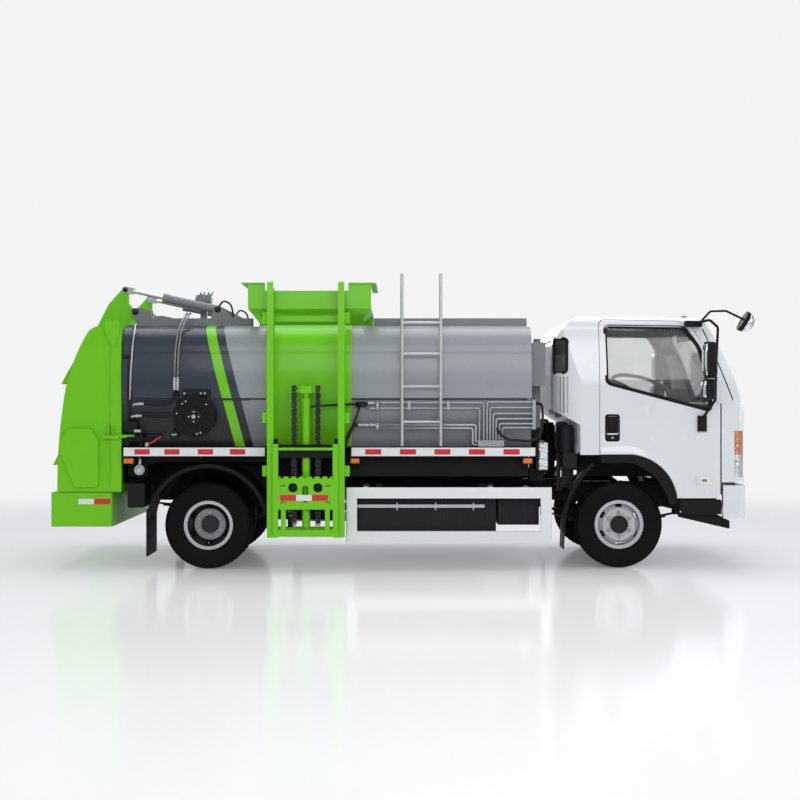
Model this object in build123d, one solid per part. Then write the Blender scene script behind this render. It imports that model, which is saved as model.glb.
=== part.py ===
from build123d import *
import math
import os

# A two-axle food-waste collection truck at full size, in millimetres.
# X points forward, Y to the truck's left and Z up. The origin is on the ground,
# under the middle of the truck's length and width.

# Chassis and wheels
WHEELBASE = 3800.0
FRONT_OVERHANG = 1230.0
REAR_OVERHANG = 1448.0
FRONT_AXLE_X = (WHEELBASE + REAR_OVERHANG - FRONT_OVERHANG) / 2
REAR_AXLE_X = FRONT_AXLE_X - WHEELBASE
FRONT_END_X = FRONT_AXLE_X + FRONT_OVERHANG
REAR_END_X = REAR_AXLE_X - REAR_OVERHANG

TYRE_RADIUS = 405.0
TYRE_WIDTH = 214.0
RIM_RADIUS = 226.0
RIM_SEAT_RADIUS = 203.0
RIM_WIDTH = 172.0
FRONT_TYRE_Y = 812.0
REAR_OUTER_TYRE_Y = 890.0
DUAL_SPACING = 246.0
HUB_BORE_RADIUS = 82.0
REAR_SPINDLE_RADIUS = 58.0
STUD_CIRCLE_RADIUS = 111.0
STUD_COUNT = 6
KINGPIN_Y = 690.0

RAIL_TOP_Z = 800.0
RAIL_HEIGHT = 205.0
RAIL_FLANGE = 65.0
RAIL_WEB = 8.0
RAIL_OUTER_Y = 400.0
RAIL_REAR_X = -2560.0
RAIL_FRONT_X = 2985.0
SPRING_Y = 455.0
SPRING_WIDTH = 70.0
REAR_SPRING_Y = 450.0
FENDER_IN_Y = 560.0
FENDER_RADIUS = 566.0
FRONT_GUARD_RADIUS = 502.0
PANEL_Y = 884.0

# Tank body
TANK_REAR_X = -2577.0
TANK_FRONT_X = 1188.0
TANK_FLOOR_Z = 1130.0
TANK_CREASE_Z = 1578.0
TANK_SHOULDER_Z = 1985.0
TANK_TOP_Z = 2252.0
TANK_CROWN = 38.0
TANK_HALF_WIDTH = 1028.0
TANK_SIDE_BULGE = 24.0
TANK_FLOOR_HALF_WIDTH = 915.0
TANK_CREASE_STEP = 14.0
TANK_FLAT_HALF_WIDTH = 760.0
TANK_WALL = 36.0
SIDE_RAIL_HEIGHT = 80.0
SIDE_RAIL_OUT_Y = 1062.0
ROOF_RAIL_TOP_Z = 2334.0
ROOF_RAIL_Y = 600.0
ROOF_RAIL_WIDTH = 90.0

# Tailgate
TAILGATE_SEAL_GAP = 8.0
TAILGATE_HALF_WIDTH = 1000.0
TAILGATE_WALL = 34.0
TAILGATE_FLANGE = 62.0
TAILGATE_BOTTOM_Z = 716.0
TAILGATE_TOP_Z = 2240.0
TAILGATE_HINGE_X = -2534.0
TAILGATE_HINGE_Z = 2398.0
TAILGATE_OPEN_DEG = 70.0
HORN_Y = 585.0
HORN_THICKNESS = 28.0
HORN_EYE_X = -2633.0
HORN_EYE_Z = 2607.0
CYLINDER_BASE_X = -1751.0
VALVE_PLACE = (-1918.0, -402.0, 2508.0)
CYLINDER_BASE_Z = 2419.0
CYLINDER_RADIUS = 40.0
CYLINDER_ROD_RADIUS = 17.0
CYLINDER_BARREL_LENGTH = 524.0
ROD_PIN_RADIUS = 14.0
SUMP_TOP_Z = 708.0
SUMP_BOTTOM_Z = 394.0
SUMP_FRONT_X = -2674.0

# Bin lift on the right side
LIFT_X = -874.0
LIFT_HALF_WIDTH = 349.0
MAST_POST_WIDTH = 58.0
MAST_OUT_Y = -1252.0
MAST_IN_Y = -1150.0
MAST_TOP_Z = 2634.0
MAST_BOTTOM_Z = 319.0
MAST_WALL = 10.0
LIFT_TRAVEL = 1240.0
SHEAVE_TOP_Z = 1690.0
SHEAVE_RADIUS = 50.0
CHAIN_X = 108.0
CHAIN_WIDTH = 44.0
CHAIN_PITCH = 38.1
FRAME_TOP_Z = 1169.0
TIP_AXIS_Z = 1150.0
TIP_AXIS_Y = -1274.0
TIP_DEG = 110.0
PIVOT_RADIUS = 9.0
SLEEVE_RADIUS = 14.0
FRAME_OUT_Y = -1287.0
FRAME_IN_Y = -1262.0

# Hopper
HOPPER_TOP_Z = 2628.0
HOPPER_REAR_X = -1410.0
HOPPER_FRONT_X = -286.0
HOPPER_OUT_Y = -1120.0
HOPPER_IN_Y = -120.0
HOPPER_BEND_Z = 2393.0
HOPPER_NECK_Z = 2215.0
HOPPER_NECK_REAR_X = -1290.0
HOPPER_NECK_FRONT_X = -455.0
HOPPER_WALL = 8.0

# Cab
CAB_HALF_WIDTH = 975.0
CAB_ROOF_Z = 2362.0
CAB_REAR_X = 1400.0
CAB_SIDE_REAR_X = 1655.0
CAB_WALL = 42.0
LOUVRE_DEPTH = 15.0
DOOR_REAR_X = 1816.0
DOOR_FRONT_X = 2935.0
DOOR_BOTTOM_Z = 651.0
DOOR_TOP_Z = 2318.0
DOOR_THICKNESS = 62.0
DOOR_GAP = 5.0
DOOR_OPEN_DEG = 68.0
DOOR_IN_Y = CAB_HALF_WIDTH - 195.0
HINGE_X = 2920.0
HINGE_Y = CAB_HALF_WIDTH - 17.0
HINGE_ARM_Y = CAB_HALF_WIDTH - 70.0
PILLAR_IN_Y = CAB_HALF_WIDTH - 95.0
CAB_REACH = CAB_HALF_WIDTH + 125.0
HINGE_PIN_RADIUS = 7.0
HINGE_HEIGHTS = (880.0, 1330.0)
DOOR_INNER_FACE_Y = CAB_HALF_WIDTH - DOOR_THICKNESS
ARCH_TOP_Z = 1054.0
ARCH_LIP = 74.0
LINER_REAR_X = 1832.0
ARCH_RADIUS = 440.0
PANEL_BOTTOM_Z = 802.0
TUNNEL_TOP_Z = 770.0
TUNNEL_HALF_WIDTH = 520.0
SCREEN_BASE_Z = 1545.0
SCREEN_TOP_Z = 2262.0
CAB_PIVOT_X = 3050.0
CAB_PIVOT_Z = 505.0
CAB_TILT_DEG = 42.0
PIVOT_ARM_Y = 298.0
PIVOT_ARM_WIDTH = 26.0
PIVOT_PIN_RADIUS = 16.0
BUMPER_TOP_Z = 772.0
BUMPER_BOTTOM_Z = 468.0
BUMPER_DEPTH = 62.0
MIRROR_OUT_Y = 1290.0

PIN_CLEARANCE = 0.4
SEAT_GAP = 0.3
STEER_DEG = 30.0


def block(x0, x1, y0, y1, z0, z1):
    """A box from its low and high corners."""
    size = Box(x1 - x0, y1 - y0, z1 - z0)
    return Pos((x0 + x1) / 2, (y0 + y1) / 2, (z0 + z1) / 2) * size


def side_plate(points, y0, y1, radius=0.0):
    """An outline in X and Z, extruded from y0 to y1, with its corners rounded."""
    face = make_face(Polyline(*[(x, z) for x, z in points], close=True))
    if radius:
        face = fillet(face.vertices(), radius)
    return extrude(Plane((0, y0, 0), x_dir=(1, 0, 0), z_dir=(0, -1, 0)) * face, -(y1 - y0))


def side_profile(wire, y0, y1):
    """A closed wire in X and Z, extruded from y0 to y1."""
    face = make_face(wire)
    return extrude(Plane((0, y0, 0), x_dir=(1, 0, 0), z_dir=(0, -1, 0)) * face, -(y1 - y0))


def cross_profile(wire, x0, x1):
    """A closed wire in Y and Z, extruded from x0 to x1."""
    face = make_face(wire)
    return extrude(Plane((x0, 0, 0), x_dir=(0, 1, 0), z_dir=(1, 0, 0)) * face, x1 - x0)


def flat_plate(points, z0, z1, radius=0.0):
    """An outline in X and Y, extruded from z0 to z1, with its corners rounded."""
    face = make_face(Polyline(*points, close=True))
    if radius:
        face = fillet(face.vertices(), radius)
    return extrude(Pos(0, 0, z0) * face, z1 - z0)


def rod_y(x, z, y0, y1, radius):
    """A round bar along Y."""
    return Pos(x, (y0 + y1) / 2, z) * Rot(90, 0, 0) * Cylinder(radius, abs(y1 - y0))


def rod_x(y, z, x0, x1, radius):
    """A round bar along X."""
    return Pos((x0 + x1) / 2, y, z) * Rot(0, 90, 0) * Cylinder(radius, abs(x1 - x0))


def rod_z(x, y, z0, z1, radius):
    """A round bar along Z."""
    return Pos(x, y, (z0 + z1) / 2) * Cylinder(radius, abs(z1 - z0))


def rod_between(start, end, radius):
    """A round bar from one point to another."""
    a = Vector(*start)
    b = Vector(*end)
    plane = Plane(origin=a, z_dir=(b - a).normalized())
    return extrude(plane * Circle(radius), (b - a).length)


def flip(shape):
    """The same shape on the other side of the truck."""
    return mirror(shape, about=Plane.XZ)


def both_sides(shape):
    return shape + flip(shape)


def bent_tube(points, radius, bend):
    """A round tube along straight runs with arcs of one bend radius."""
    path = FilletPolyline(*points, radius=bend)
    start = path @ 0
    return sweep(Plane(origin=start, z_dir=path % 0) * Circle(radius), path=path)


def save(name, shape):
    solids = shape.solids() if hasattr(shape, "solids") else shape
    export_step(Compound(children=list(solids)), f"parts/{name}.step")


# Wheels
def tyre(y_centre, x_centre):
    """A tyre as a revolved section, straight from corner to corner: bead, wall, shoulder and crown."""
    half = TYRE_WIDTH / 2
    bead = RIM_WIDTH / 2 - 12
    middle = (RIM_RADIUS + TYRE_RADIUS) / 2
    # Half section from the bead to the crown: radius and distance from the tyre's middle.
    half_section = [
        (RIM_SEAT_RADIUS + SEAT_GAP, bead),
        (RIM_RADIUS + 6, bead),
        (middle - 34, half - 5),
        (middle + 8, half),
        (TYRE_RADIUS - 24, half - 9),
        (TYRE_RADIUS - 6, half - 26),
        (TYRE_RADIUS, half - 62),
    ]
    outline = half_section + [(r, -y) for r, y in reversed(half_section)]
    ring = revolve(Plane.XZ * make_face(Polyline(*outline, close=True)), Axis.Z)
    return Pos(x_centre, y_centre, TYRE_RADIUS) * Rot(90, 0, 0) * ring


def rim(outward, dish):
    """A steel wheel turned about Z: flanged barrel and a disc with hand holes. Outward is +Z."""
    half = RIM_WIDTH / 2
    outer = [
        (RIM_RADIUS, -half),
        (RIM_RADIUS, -half + 7),
        (RIM_SEAT_RADIUS, -half + 9),
        (RIM_SEAT_RADIUS, half - 9),
        (RIM_RADIUS, half - 7),
        (RIM_RADIUS, half),
    ]
    wall = 8.0
    inner = [(r - wall, z) for r, z in reversed(outer)]
    barrel = revolve(Plane.XZ * make_face(Polyline(*outer, *inner, close=True)), Axis.Z)
    face = dish
    disc_outline = [
        (HUB_BORE_RADIUS, face - 12),
        (STUD_CIRCLE_RADIUS + 32, face - 12),
        (STUD_CIRCLE_RADIUS + 48, face - 30),
        (RIM_SEAT_RADIUS - wall + 1, face - 62),
        (RIM_SEAT_RADIUS - wall + 1, face - 50),
        (STUD_CIRCLE_RADIUS + 54, face - 20),
        (STUD_CIRCLE_RADIUS + 36, face),
        (HUB_BORE_RADIUS, face),
    ]
    disc = revolve(Plane.XZ * make_face(Polyline(*disc_outline, close=True)), Axis.Z)
    hand_hole = Pos(STUD_CIRCLE_RADIUS + 62, 0, face - 40) * Box(26, 62, 90)
    for i in range(STUD_COUNT):
        disc -= Rot(0, 0, (i + 0.5) * 360 / STUD_COUNT) * hand_hole
    whole = barrel + disc
    for i in range(STUD_COUNT):
        nut = Pos(STUD_CIRCLE_RADIUS, 0, face + 10) * extrude(RegularPolygon(15, 6), 10, both=True)
        whole += Rot(0, 0, i * 360 / STUD_COUNT) * nut
    return whole if outward > 0 else Rot(180, 0, 0) * whole


def place_rim(shape, x, y):
    """Turns a rim's outward side from +Z to +Y and puts it at a wheel's centre."""
    return Pos(x, y, TYRE_RADIUS) * Rot(-90, 0, 0) * shape


def front_wheel_left():
    return place_rim(rim(1, RIM_WIDTH / 2 - 6), FRONT_AXLE_X, FRONT_TYRE_Y)


def rear_wheels_left():
    outer = place_rim(rim(-1, 44), REAR_AXLE_X, REAR_OUTER_TYRE_Y)
    inner = place_rim(rim(1, 44), REAR_AXLE_X, REAR_OUTER_TYRE_Y - DUAL_SPACING)
    outer_disc_y = REAR_OUTER_TYRE_Y - 44
    inner_disc_y = REAR_OUTER_TYRE_Y - DUAL_SPACING + 44
    spacer = rod_y(REAR_AXLE_X, TYRE_RADIUS, inner_disc_y - 1, outer_disc_y + 1, 140)
    spacer -= rod_y(REAR_AXLE_X, TYRE_RADIUS, inner_disc_y - 20, outer_disc_y + 20, 100)
    bearing_end = inner_disc_y + 50
    bearing = rod_y(REAR_AXLE_X, TYRE_RADIUS, inner_disc_y - 1, bearing_end, 102)
    bearing -= rod_y(REAR_AXLE_X, TYRE_RADIUS, inner_disc_y - 20, bearing_end + 5, REAR_SPINDLE_RADIUS + PIN_CLEARANCE)
    spacer += bearing
    hub_cap = rod_y(REAR_AXLE_X, TYRE_RADIUS, outer_disc_y - 40, outer_disc_y + 62, 76)
    hub_flange = rod_y(REAR_AXLE_X, TYRE_RADIUS, outer_disc_y - 40, outer_disc_y - 14, 104)
    return outer + inner + spacer + hub_cap + hub_flange


def rear_tyres_left():
    outer = tyre(REAR_OUTER_TYRE_Y, REAR_AXLE_X)
    inner = tyre(REAR_OUTER_TYRE_Y - DUAL_SPACING, REAR_AXLE_X)
    return outer + inner


def knuckle_left():
    """Steering knuckle with its brake drum and spindle."""
    disc_y = FRONT_TYRE_Y + RIM_WIDTH / 2 - 20
    drum_end = disc_y - 10
    drum = rod_y(FRONT_AXLE_X, TYRE_RADIUS, KINGPIN_Y + 42, drum_end - 60, 150)
    neck = rod_y(FRONT_AXLE_X, TYRE_RADIUS, drum_end - 62, disc_y + 34, HUB_BORE_RADIUS - PIN_CLEARANCE)
    upright = block(
        FRONT_AXLE_X - 55, FRONT_AXLE_X + 55, KINGPIN_Y - 38, KINGPIN_Y + 44, TYRE_RADIUS - 100, TYRE_RADIUS + 80
    )
    upright -= block(
        FRONT_AXLE_X - 60, FRONT_AXLE_X + 60, KINGPIN_Y - 60, KINGPIN_Y + 36, TYRE_RADIUS - 66, TYRE_RADIUS + 46
    )
    pin = rod_z(FRONT_AXLE_X, KINGPIN_Y, TYRE_RADIUS - 100, TYRE_RADIUS + 80, 16)
    arm = flat_plate(
        [
            (FRONT_AXLE_X - 50, KINGPIN_Y + 30),
            (FRONT_AXLE_X - 190, KINGPIN_Y - 20),
            (FRONT_AXLE_X - 190, KINGPIN_Y - 60),
            (FRONT_AXLE_X - 50, KINGPIN_Y - 30),
        ],
        TYRE_RADIUS - 98,
        TYRE_RADIUS - 76,
    )
    return drum + neck + upright + pin + arm


def front_axle():
    """Forged I-beam, dropped between its spring seats, with an eye for each kingpin."""
    half_height = 38
    drop = 70
    eye_z = TYRE_RADIUS - 10
    points = [
        (-KINGPIN_Y, eye_z + 50),
        (-KINGPIN_Y + 60, eye_z + half_height),
        (-SPRING_Y - 60, eye_z - drop + half_height),
        (SPRING_Y + 60, eye_z - drop + half_height),
        (KINGPIN_Y - 60, eye_z + half_height),
        (KINGPIN_Y, eye_z + 50),
        (KINGPIN_Y, eye_z - 50),
        (KINGPIN_Y - 60, eye_z - half_height),
        (SPRING_Y + 60, eye_z - drop - half_height),
        (-SPRING_Y - 60, eye_z - drop - half_height),
        (-KINGPIN_Y + 60, eye_z - half_height),
        (-KINGPIN_Y, eye_z - 50),
    ]
    beam = cross_profile(Polyline(*points, close=True), FRONT_AXLE_X - 32, FRONT_AXLE_X + 32)
    web_cut = block(FRONT_AXLE_X + 9, FRONT_AXLE_X + 40, -SPRING_Y, SPRING_Y, eye_z - drop - 24, eye_z - drop + 24)
    beam -= web_cut
    beam -= mirror(web_cut, about=Plane((FRONT_AXLE_X, 0, 0), z_dir=(1, 0, 0)))
    beam = both_sides(beam + rod_z(FRONT_AXLE_X, KINGPIN_Y, eye_z - 50, eye_z + 50, 36))
    hole = rod_z(FRONT_AXLE_X, KINGPIN_Y, eye_z - 80, eye_z + 80, 16 + PIN_CLEARANCE)
    tie_rod = rod_y(FRONT_AXLE_X - 178, TYRE_RADIUS - 118, -KINGPIN_Y + 115, KINGPIN_Y - 115, 15)
    clamp = block(FRONT_AXLE_X - 190, FRONT_AXLE_X - 20, -30, 30, TYRE_RADIUS - 132, TYRE_RADIUS - 104)
    return beam - hole - flip(hole) + tie_rod + clamp


def leaf_pack(x, y, z_seat, half_length, leaves, thickness=13.0, rise=70.0):
    """A stack of bowed leaves, each shorter than the one above, fixed at the axle seat."""
    pack = None
    for i in range(leaves):
        half = half_length * (1 - 0.17 * i)
        lift = rise * (half / half_length) ** 2
        z = z_seat + (leaves - 1 - i) * thickness
        top = ThreePointArc((x - half, z + lift + thickness), (x, z + thickness), (x + half, z + lift + thickness))
        end = Line((x + half, z + lift + thickness), (x + half, z + lift))
        low = ThreePointArc((x + half, z + lift), (x, z), (x - half, z + lift))
        close = Line((x - half, z + lift), (x - half, z + lift + thickness))
        leaf = side_profile([top, end, low, close], y - SPRING_WIDTH / 2, y + SPRING_WIDTH / 2)
        pack = leaf if pack is None else pack + leaf
    eye_z = z_seat + (leaves - 1) * thickness + rise + thickness / 2 + 14
    for side in (-1, 1):
        pack += rod_y(x + side * half_length, eye_z, y - SPRING_WIDTH / 2, y + SPRING_WIDTH / 2, 26)
    return pack, eye_z


def front_springs():
    seat = TYRE_RADIUS - 10 - 70 + 38 + SEAT_GAP
    pack, eye_z = leaf_pack(FRONT_AXLE_X, SPRING_Y, seat, 620, 4)
    pack += block(FRONT_AXLE_X - 60, FRONT_AXLE_X + 60, SPRING_Y - 45, SPRING_Y + 45, seat + 40, seat + 66)
    for side in (-1, 1):
        x = FRONT_AXLE_X + side * 620
        hanger = block(x - 30, x + 30, RAIL_OUTER_Y + SEAT_GAP, SPRING_Y + 44, eye_z - 30, RAIL_TOP_Z - 60)
        hanger -= block(x - 40, x + 40, SPRING_Y - 36, SPRING_Y + 36, eye_z - 60, eye_z + 46)
        pack += hanger + rod_y(x, eye_z, SPRING_Y - 50, SPRING_Y + 50, 12)
    return both_sides(pack)


def rear_axle():
    """Banjo housing, tubes and the brake drums' backing."""
    tube = rod_y(REAR_AXLE_X, TYRE_RADIUS, -520, 520, 62)
    banjo = Pos(REAR_AXLE_X, 0, TYRE_RADIUS) * Sphere(175)
    banjo = banjo & block(REAR_AXLE_X - 190, REAR_AXLE_X + 190, -120, 120, 180, 640)
    nose = rod_x(0, TYRE_RADIUS, REAR_AXLE_X + 120, REAR_AXLE_X + 330, 78)
    spindle = rod_y(REAR_AXLE_X, TYRE_RADIUS, -770, 770, REAR_SPINDLE_RADIUS)
    drum = rod_y(REAR_AXLE_X, TYRE_RADIUS, 520, 655, 158)
    return tube + banjo + nose + spindle + drum + flip(drum)


def rear_springs():
    seat = TYRE_RADIUS + 62 + SEAT_GAP
    pack, eye_z = leaf_pack(REAR_AXLE_X, REAR_SPRING_Y, seat, 610, 6, rise=40)
    pack += block(REAR_AXLE_X - 65, REAR_AXLE_X + 65, REAR_SPRING_Y - 46, REAR_SPRING_Y + 46, seat + 60, seat + 96)
    for side in (-1, 1):
        x = REAR_AXLE_X + side * 610
        hanger = block(x - 30, x + 30, RAIL_OUTER_Y + SEAT_GAP, REAR_SPRING_Y + 45, eye_z - 30, RAIL_TOP_Z - 40)
        hanger -= block(x - 40, x + 40, REAR_SPRING_Y - 36, REAR_SPRING_Y + 36, eye_z - 60, eye_z + 38)
        pack += hanger + rod_y(x, eye_z, REAR_SPRING_Y - 48, REAR_SPRING_Y + 48, 12)
    return both_sides(pack)


# Chassis
def chassis_frame():
    """Two channel rails, kicked down at the front, and their cross members."""
    low = RAIL_TOP_Z - RAIL_HEIGHT
    drop_start = 1500.0
    drop_end = 1800.0
    drop = 70.0
    front_low = low - drop + 50
    outline = [
        (RAIL_REAR_X, low),
        (RAIL_REAR_X, RAIL_TOP_Z),
        (drop_start, RAIL_TOP_Z),
        (drop_end, RAIL_TOP_Z - drop),
        (RAIL_FRONT_X, RAIL_TOP_Z - drop),
        (RAIL_FRONT_X, front_low),
        (drop_end, front_low),
        (drop_start, low),
    ]
    rail = side_plate(outline, RAIL_OUTER_Y - RAIL_FLANGE, RAIL_OUTER_Y)
    inner = [
        (RAIL_REAR_X - 10, low + RAIL_WEB),
        (RAIL_REAR_X - 10, RAIL_TOP_Z - RAIL_WEB),
        (drop_start, RAIL_TOP_Z - RAIL_WEB),
        (drop_end, RAIL_TOP_Z - drop - RAIL_WEB),
        (RAIL_FRONT_X + 10, RAIL_TOP_Z - drop - RAIL_WEB),
        (RAIL_FRONT_X + 10, front_low + RAIL_WEB),
        (drop_end, front_low + RAIL_WEB),
        (drop_start, low + RAIL_WEB),
    ]
    rail -= side_plate(inner, RAIL_OUTER_Y - RAIL_FLANGE - 5, RAIL_OUTER_Y - RAIL_WEB)
    frame = both_sides(rail)
    reach = RAIL_OUTER_Y - RAIL_WEB + 1
    # Cross members: centre X, half length along X, low Z, high Z.
    members = [
        (-2500.0, 45.0, low + 12, RAIL_TOP_Z - 12),
        (-1200.0, 35.0, low + 60, RAIL_TOP_Z - 12),
        (-640.0, 35.0, low + 60, RAIL_TOP_Z - 12),
        (220.0, 35.0, low + 60, RAIL_TOP_Z - 12),
        (760.0, 35.0, low + 60, RAIL_TOP_Z - 12),
        (1350.0, 35.0, low + 60, RAIL_TOP_Z - 12),
        (2780.0, 40.0, front_low + 12, RAIL_TOP_Z - drop - 12),
    ]
    for x, half, z0, z1 in members:
        frame += block(x - half, x + half, -reach, reach, z0, z1)

    # The hoop that the back of the cab rests over, and the ears of the cab's tilt pivot.
    hoop_top = ARCH_TOP_Z - 6
    hoop = block(1690, 1750, RAIL_OUTER_Y - RAIL_FLANGE, RAIL_OUTER_Y, RAIL_TOP_Z - 90, hoop_top)
    frame += both_sides(hoop) + block(1690, 1750, -RAIL_OUTER_Y, RAIL_OUTER_Y, hoop_top - 40, hoop_top)
    ear = side_plate(
        [
            (2860, front_low + 4),
            (2860, front_low + 110),
            (RAIL_FRONT_X, front_low + 110),
            (CAB_PIVOT_X + 26, CAB_PIVOT_Z + 22),
            (CAB_PIVOT_X + 26, CAB_PIVOT_Z - 20),
            (CAB_PIVOT_X - 20, CAB_PIVOT_Z - 30),
        ],
        RAIL_OUTER_Y - 60,
        RAIL_OUTER_Y - 36,
    )
    ear += rod_y(CAB_PIVOT_X, CAB_PIVOT_Z, PIVOT_ARM_Y - 6, RAIL_OUTER_Y - 36, PIVOT_PIN_RADIUS)
    return frame + both_sides(ear)


def body_subframe():
    """Tank bearers: long sills on the rails, cross bearers and the outer side rails."""
    sill_top = RAIL_TOP_Z + 130
    sill = block(TANK_REAR_X + 30, TANK_FRONT_X - 20, RAIL_OUTER_Y - 70, RAIL_OUTER_Y - 4, RAIL_TOP_Z + SEAT_GAP, sill_top)
    frame = both_sides(sill)
    bearer_count = 8
    first = TANK_REAR_X + 90
    last = TANK_FRONT_X - 90
    for i in range(bearer_count):
        x = first + (last - first) * i / (bearer_count - 1)
        bearer = [
            (SIDE_RAIL_OUT_Y - 40, TANK_FLOOR_Z - 8),
            (SIDE_RAIL_OUT_Y - 40, TANK_FLOOR_Z - 66),
            (FENDER_IN_Y, TANK_FLOOR_Z - 140),
            (FENDER_IN_Y - 60, sill_top - 1),
        ]
        outline = bearer + [(-y, z) for y, z in reversed(bearer)]
        frame += cross_profile(Polyline(*outline, close=True), x - 32, x + 32)
    rail_low = TANK_FLOOR_Z - SIDE_RAIL_HEIGHT - 4
    lift_gap = LIFT_HALF_WIDTH + 42
    left = block(
        TANK_REAR_X + 20, TANK_FRONT_X + 28, SIDE_RAIL_OUT_Y - 42, SIDE_RAIL_OUT_Y, rail_low, TANK_FLOOR_Z - 4
    )
    right = flip(left) - block(
        LIFT_X - lift_gap, LIFT_X + lift_gap, -SIDE_RAIL_OUT_Y - 5, -SIDE_RAIL_OUT_Y + 60, rail_low - 5, TANK_FLOOR_Z
    )
    deck = block(
        TANK_REAR_X + 20, TANK_FRONT_X, -SIDE_RAIL_OUT_Y + 41, SIDE_RAIL_OUT_Y - 41, TANK_FLOOR_Z - 9, TANK_FLOOR_Z - SEAT_GAP
    )
    # Closing panels under the deck: full depth ahead of and behind the fenders, shallow over them.
    fender_front = REAR_AXLE_X + FENDER_RADIUS + 22
    fender_rear = REAR_AXLE_X - FENDER_RADIUS - 14
    # Panels: rear X, front X, lowest Z.
    panels = [
        (TANK_REAR_X + 30, fender_rear, 852.0),
        (fender_rear - 1, fender_front + 1, TYRE_RADIUS + FENDER_RADIUS + 16),
        (fender_front, TANK_FRONT_X - 20, 852.0),
    ]
    for x0, x1, low in panels:
        frame += both_sides(block(x0, x1, PANEL_Y, PANEL_Y + 6, low, TANK_FLOOR_Z - 9 + 1))
    return frame + left + right + deck


def battery_pack():
    """Closed battery case slung on both sides of the rails, with its ribbed lid."""
    case = block(-500, 862, -960, -RAIL_OUTER_Y - 6, 348, 742)
    case = fillet(case.edges().filter_by(Axis.X), 18)
    for i in range(7):
        x = -420 + i * 200
        case += block(x - 12, x + 12, -966, -950, 380, 640)
    hanger = block(-250, -190, -820, -RAIL_OUTER_Y - SEAT_GAP, 730, RAIL_TOP_Z - 20)
    case += hanger + Pos(960, 0, 0) * hanger
    guard_bar = block(-480, 760, -988, -956, 566, 592)
    case += guard_bar
    junction = block(884, 1262, -930, -RAIL_OUTER_Y - 6, 404, 742)
    junction = fillet(junction.edges().filter_by(Axis.X), 14)
    junction += block(855, 890, -700, -620, 500, 570)
    for x in (960, 1180):
        junction += block(x - 14, x + 14, -936, -920, 430, 716)
    case += junction
    return case + flip(case)


def drive_unit():
    """Electric motor and shaft, as plain closed bodies at their real place."""
    motor = rod_x(0, 560, -560, 120, 165)
    shaft = rod_x(0, TYRE_RADIUS + 92, REAR_AXLE_X + 470, -556, 38)
    joint = rod_between((REAR_AXLE_X + 354, 0, TYRE_RADIUS + 10), (REAR_AXLE_X + 480, 0, TYRE_RADIUS + 92), 34)
    reach = RAIL_OUTER_Y - RAIL_WEB - SEAT_GAP
    mount = block(-340, -260, -reach, reach, 640, 650)
    return motor + shaft + joint + mount


def side_guard(y_out, x0, x1):
    """Welded rectangle of pressed channel, open in the middle."""
    z0 = 256.0
    z1 = 760.0
    bar = 100.0
    depth = 34.0
    outer = block(x0, x1, y_out, y_out + depth, z0, z1)
    outer = fillet(outer.edges().filter_by(Axis.Z).sort_by(Axis.Y)[:2], 12)
    outer -= block(x0 + bar, x1 - bar, y_out - 5, y_out + depth + 5, z0 + bar, z1 - bar)
    outer -= block(x0 + 8, x1 - 8, y_out + 8, y_out + depth + 5, z0 + 8, z1 - 8) - block(
        x0 + bar - 8, x1 - bar + 8, y_out, y_out + depth + 10, z0 + bar - 8, z1 - bar + 8
    )
    for x in (x0 + 180, x1 - 560):
        outer += block(x - 22, x + 22, y_out + depth - 2, -RAIL_OUTER_Y - SEAT_GAP, z1 - 12, z1 + 28)
        outer += block(x - 22, x + 22, y_out + 6, y_out + depth + 2, z1 - bar + 6, z1 + 28)
    return outer


def side_guards():
    near = side_guard(-1078, -518, 1365)
    far = flip(side_guard(-1078, -1180, 1365))
    return near + far


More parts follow.
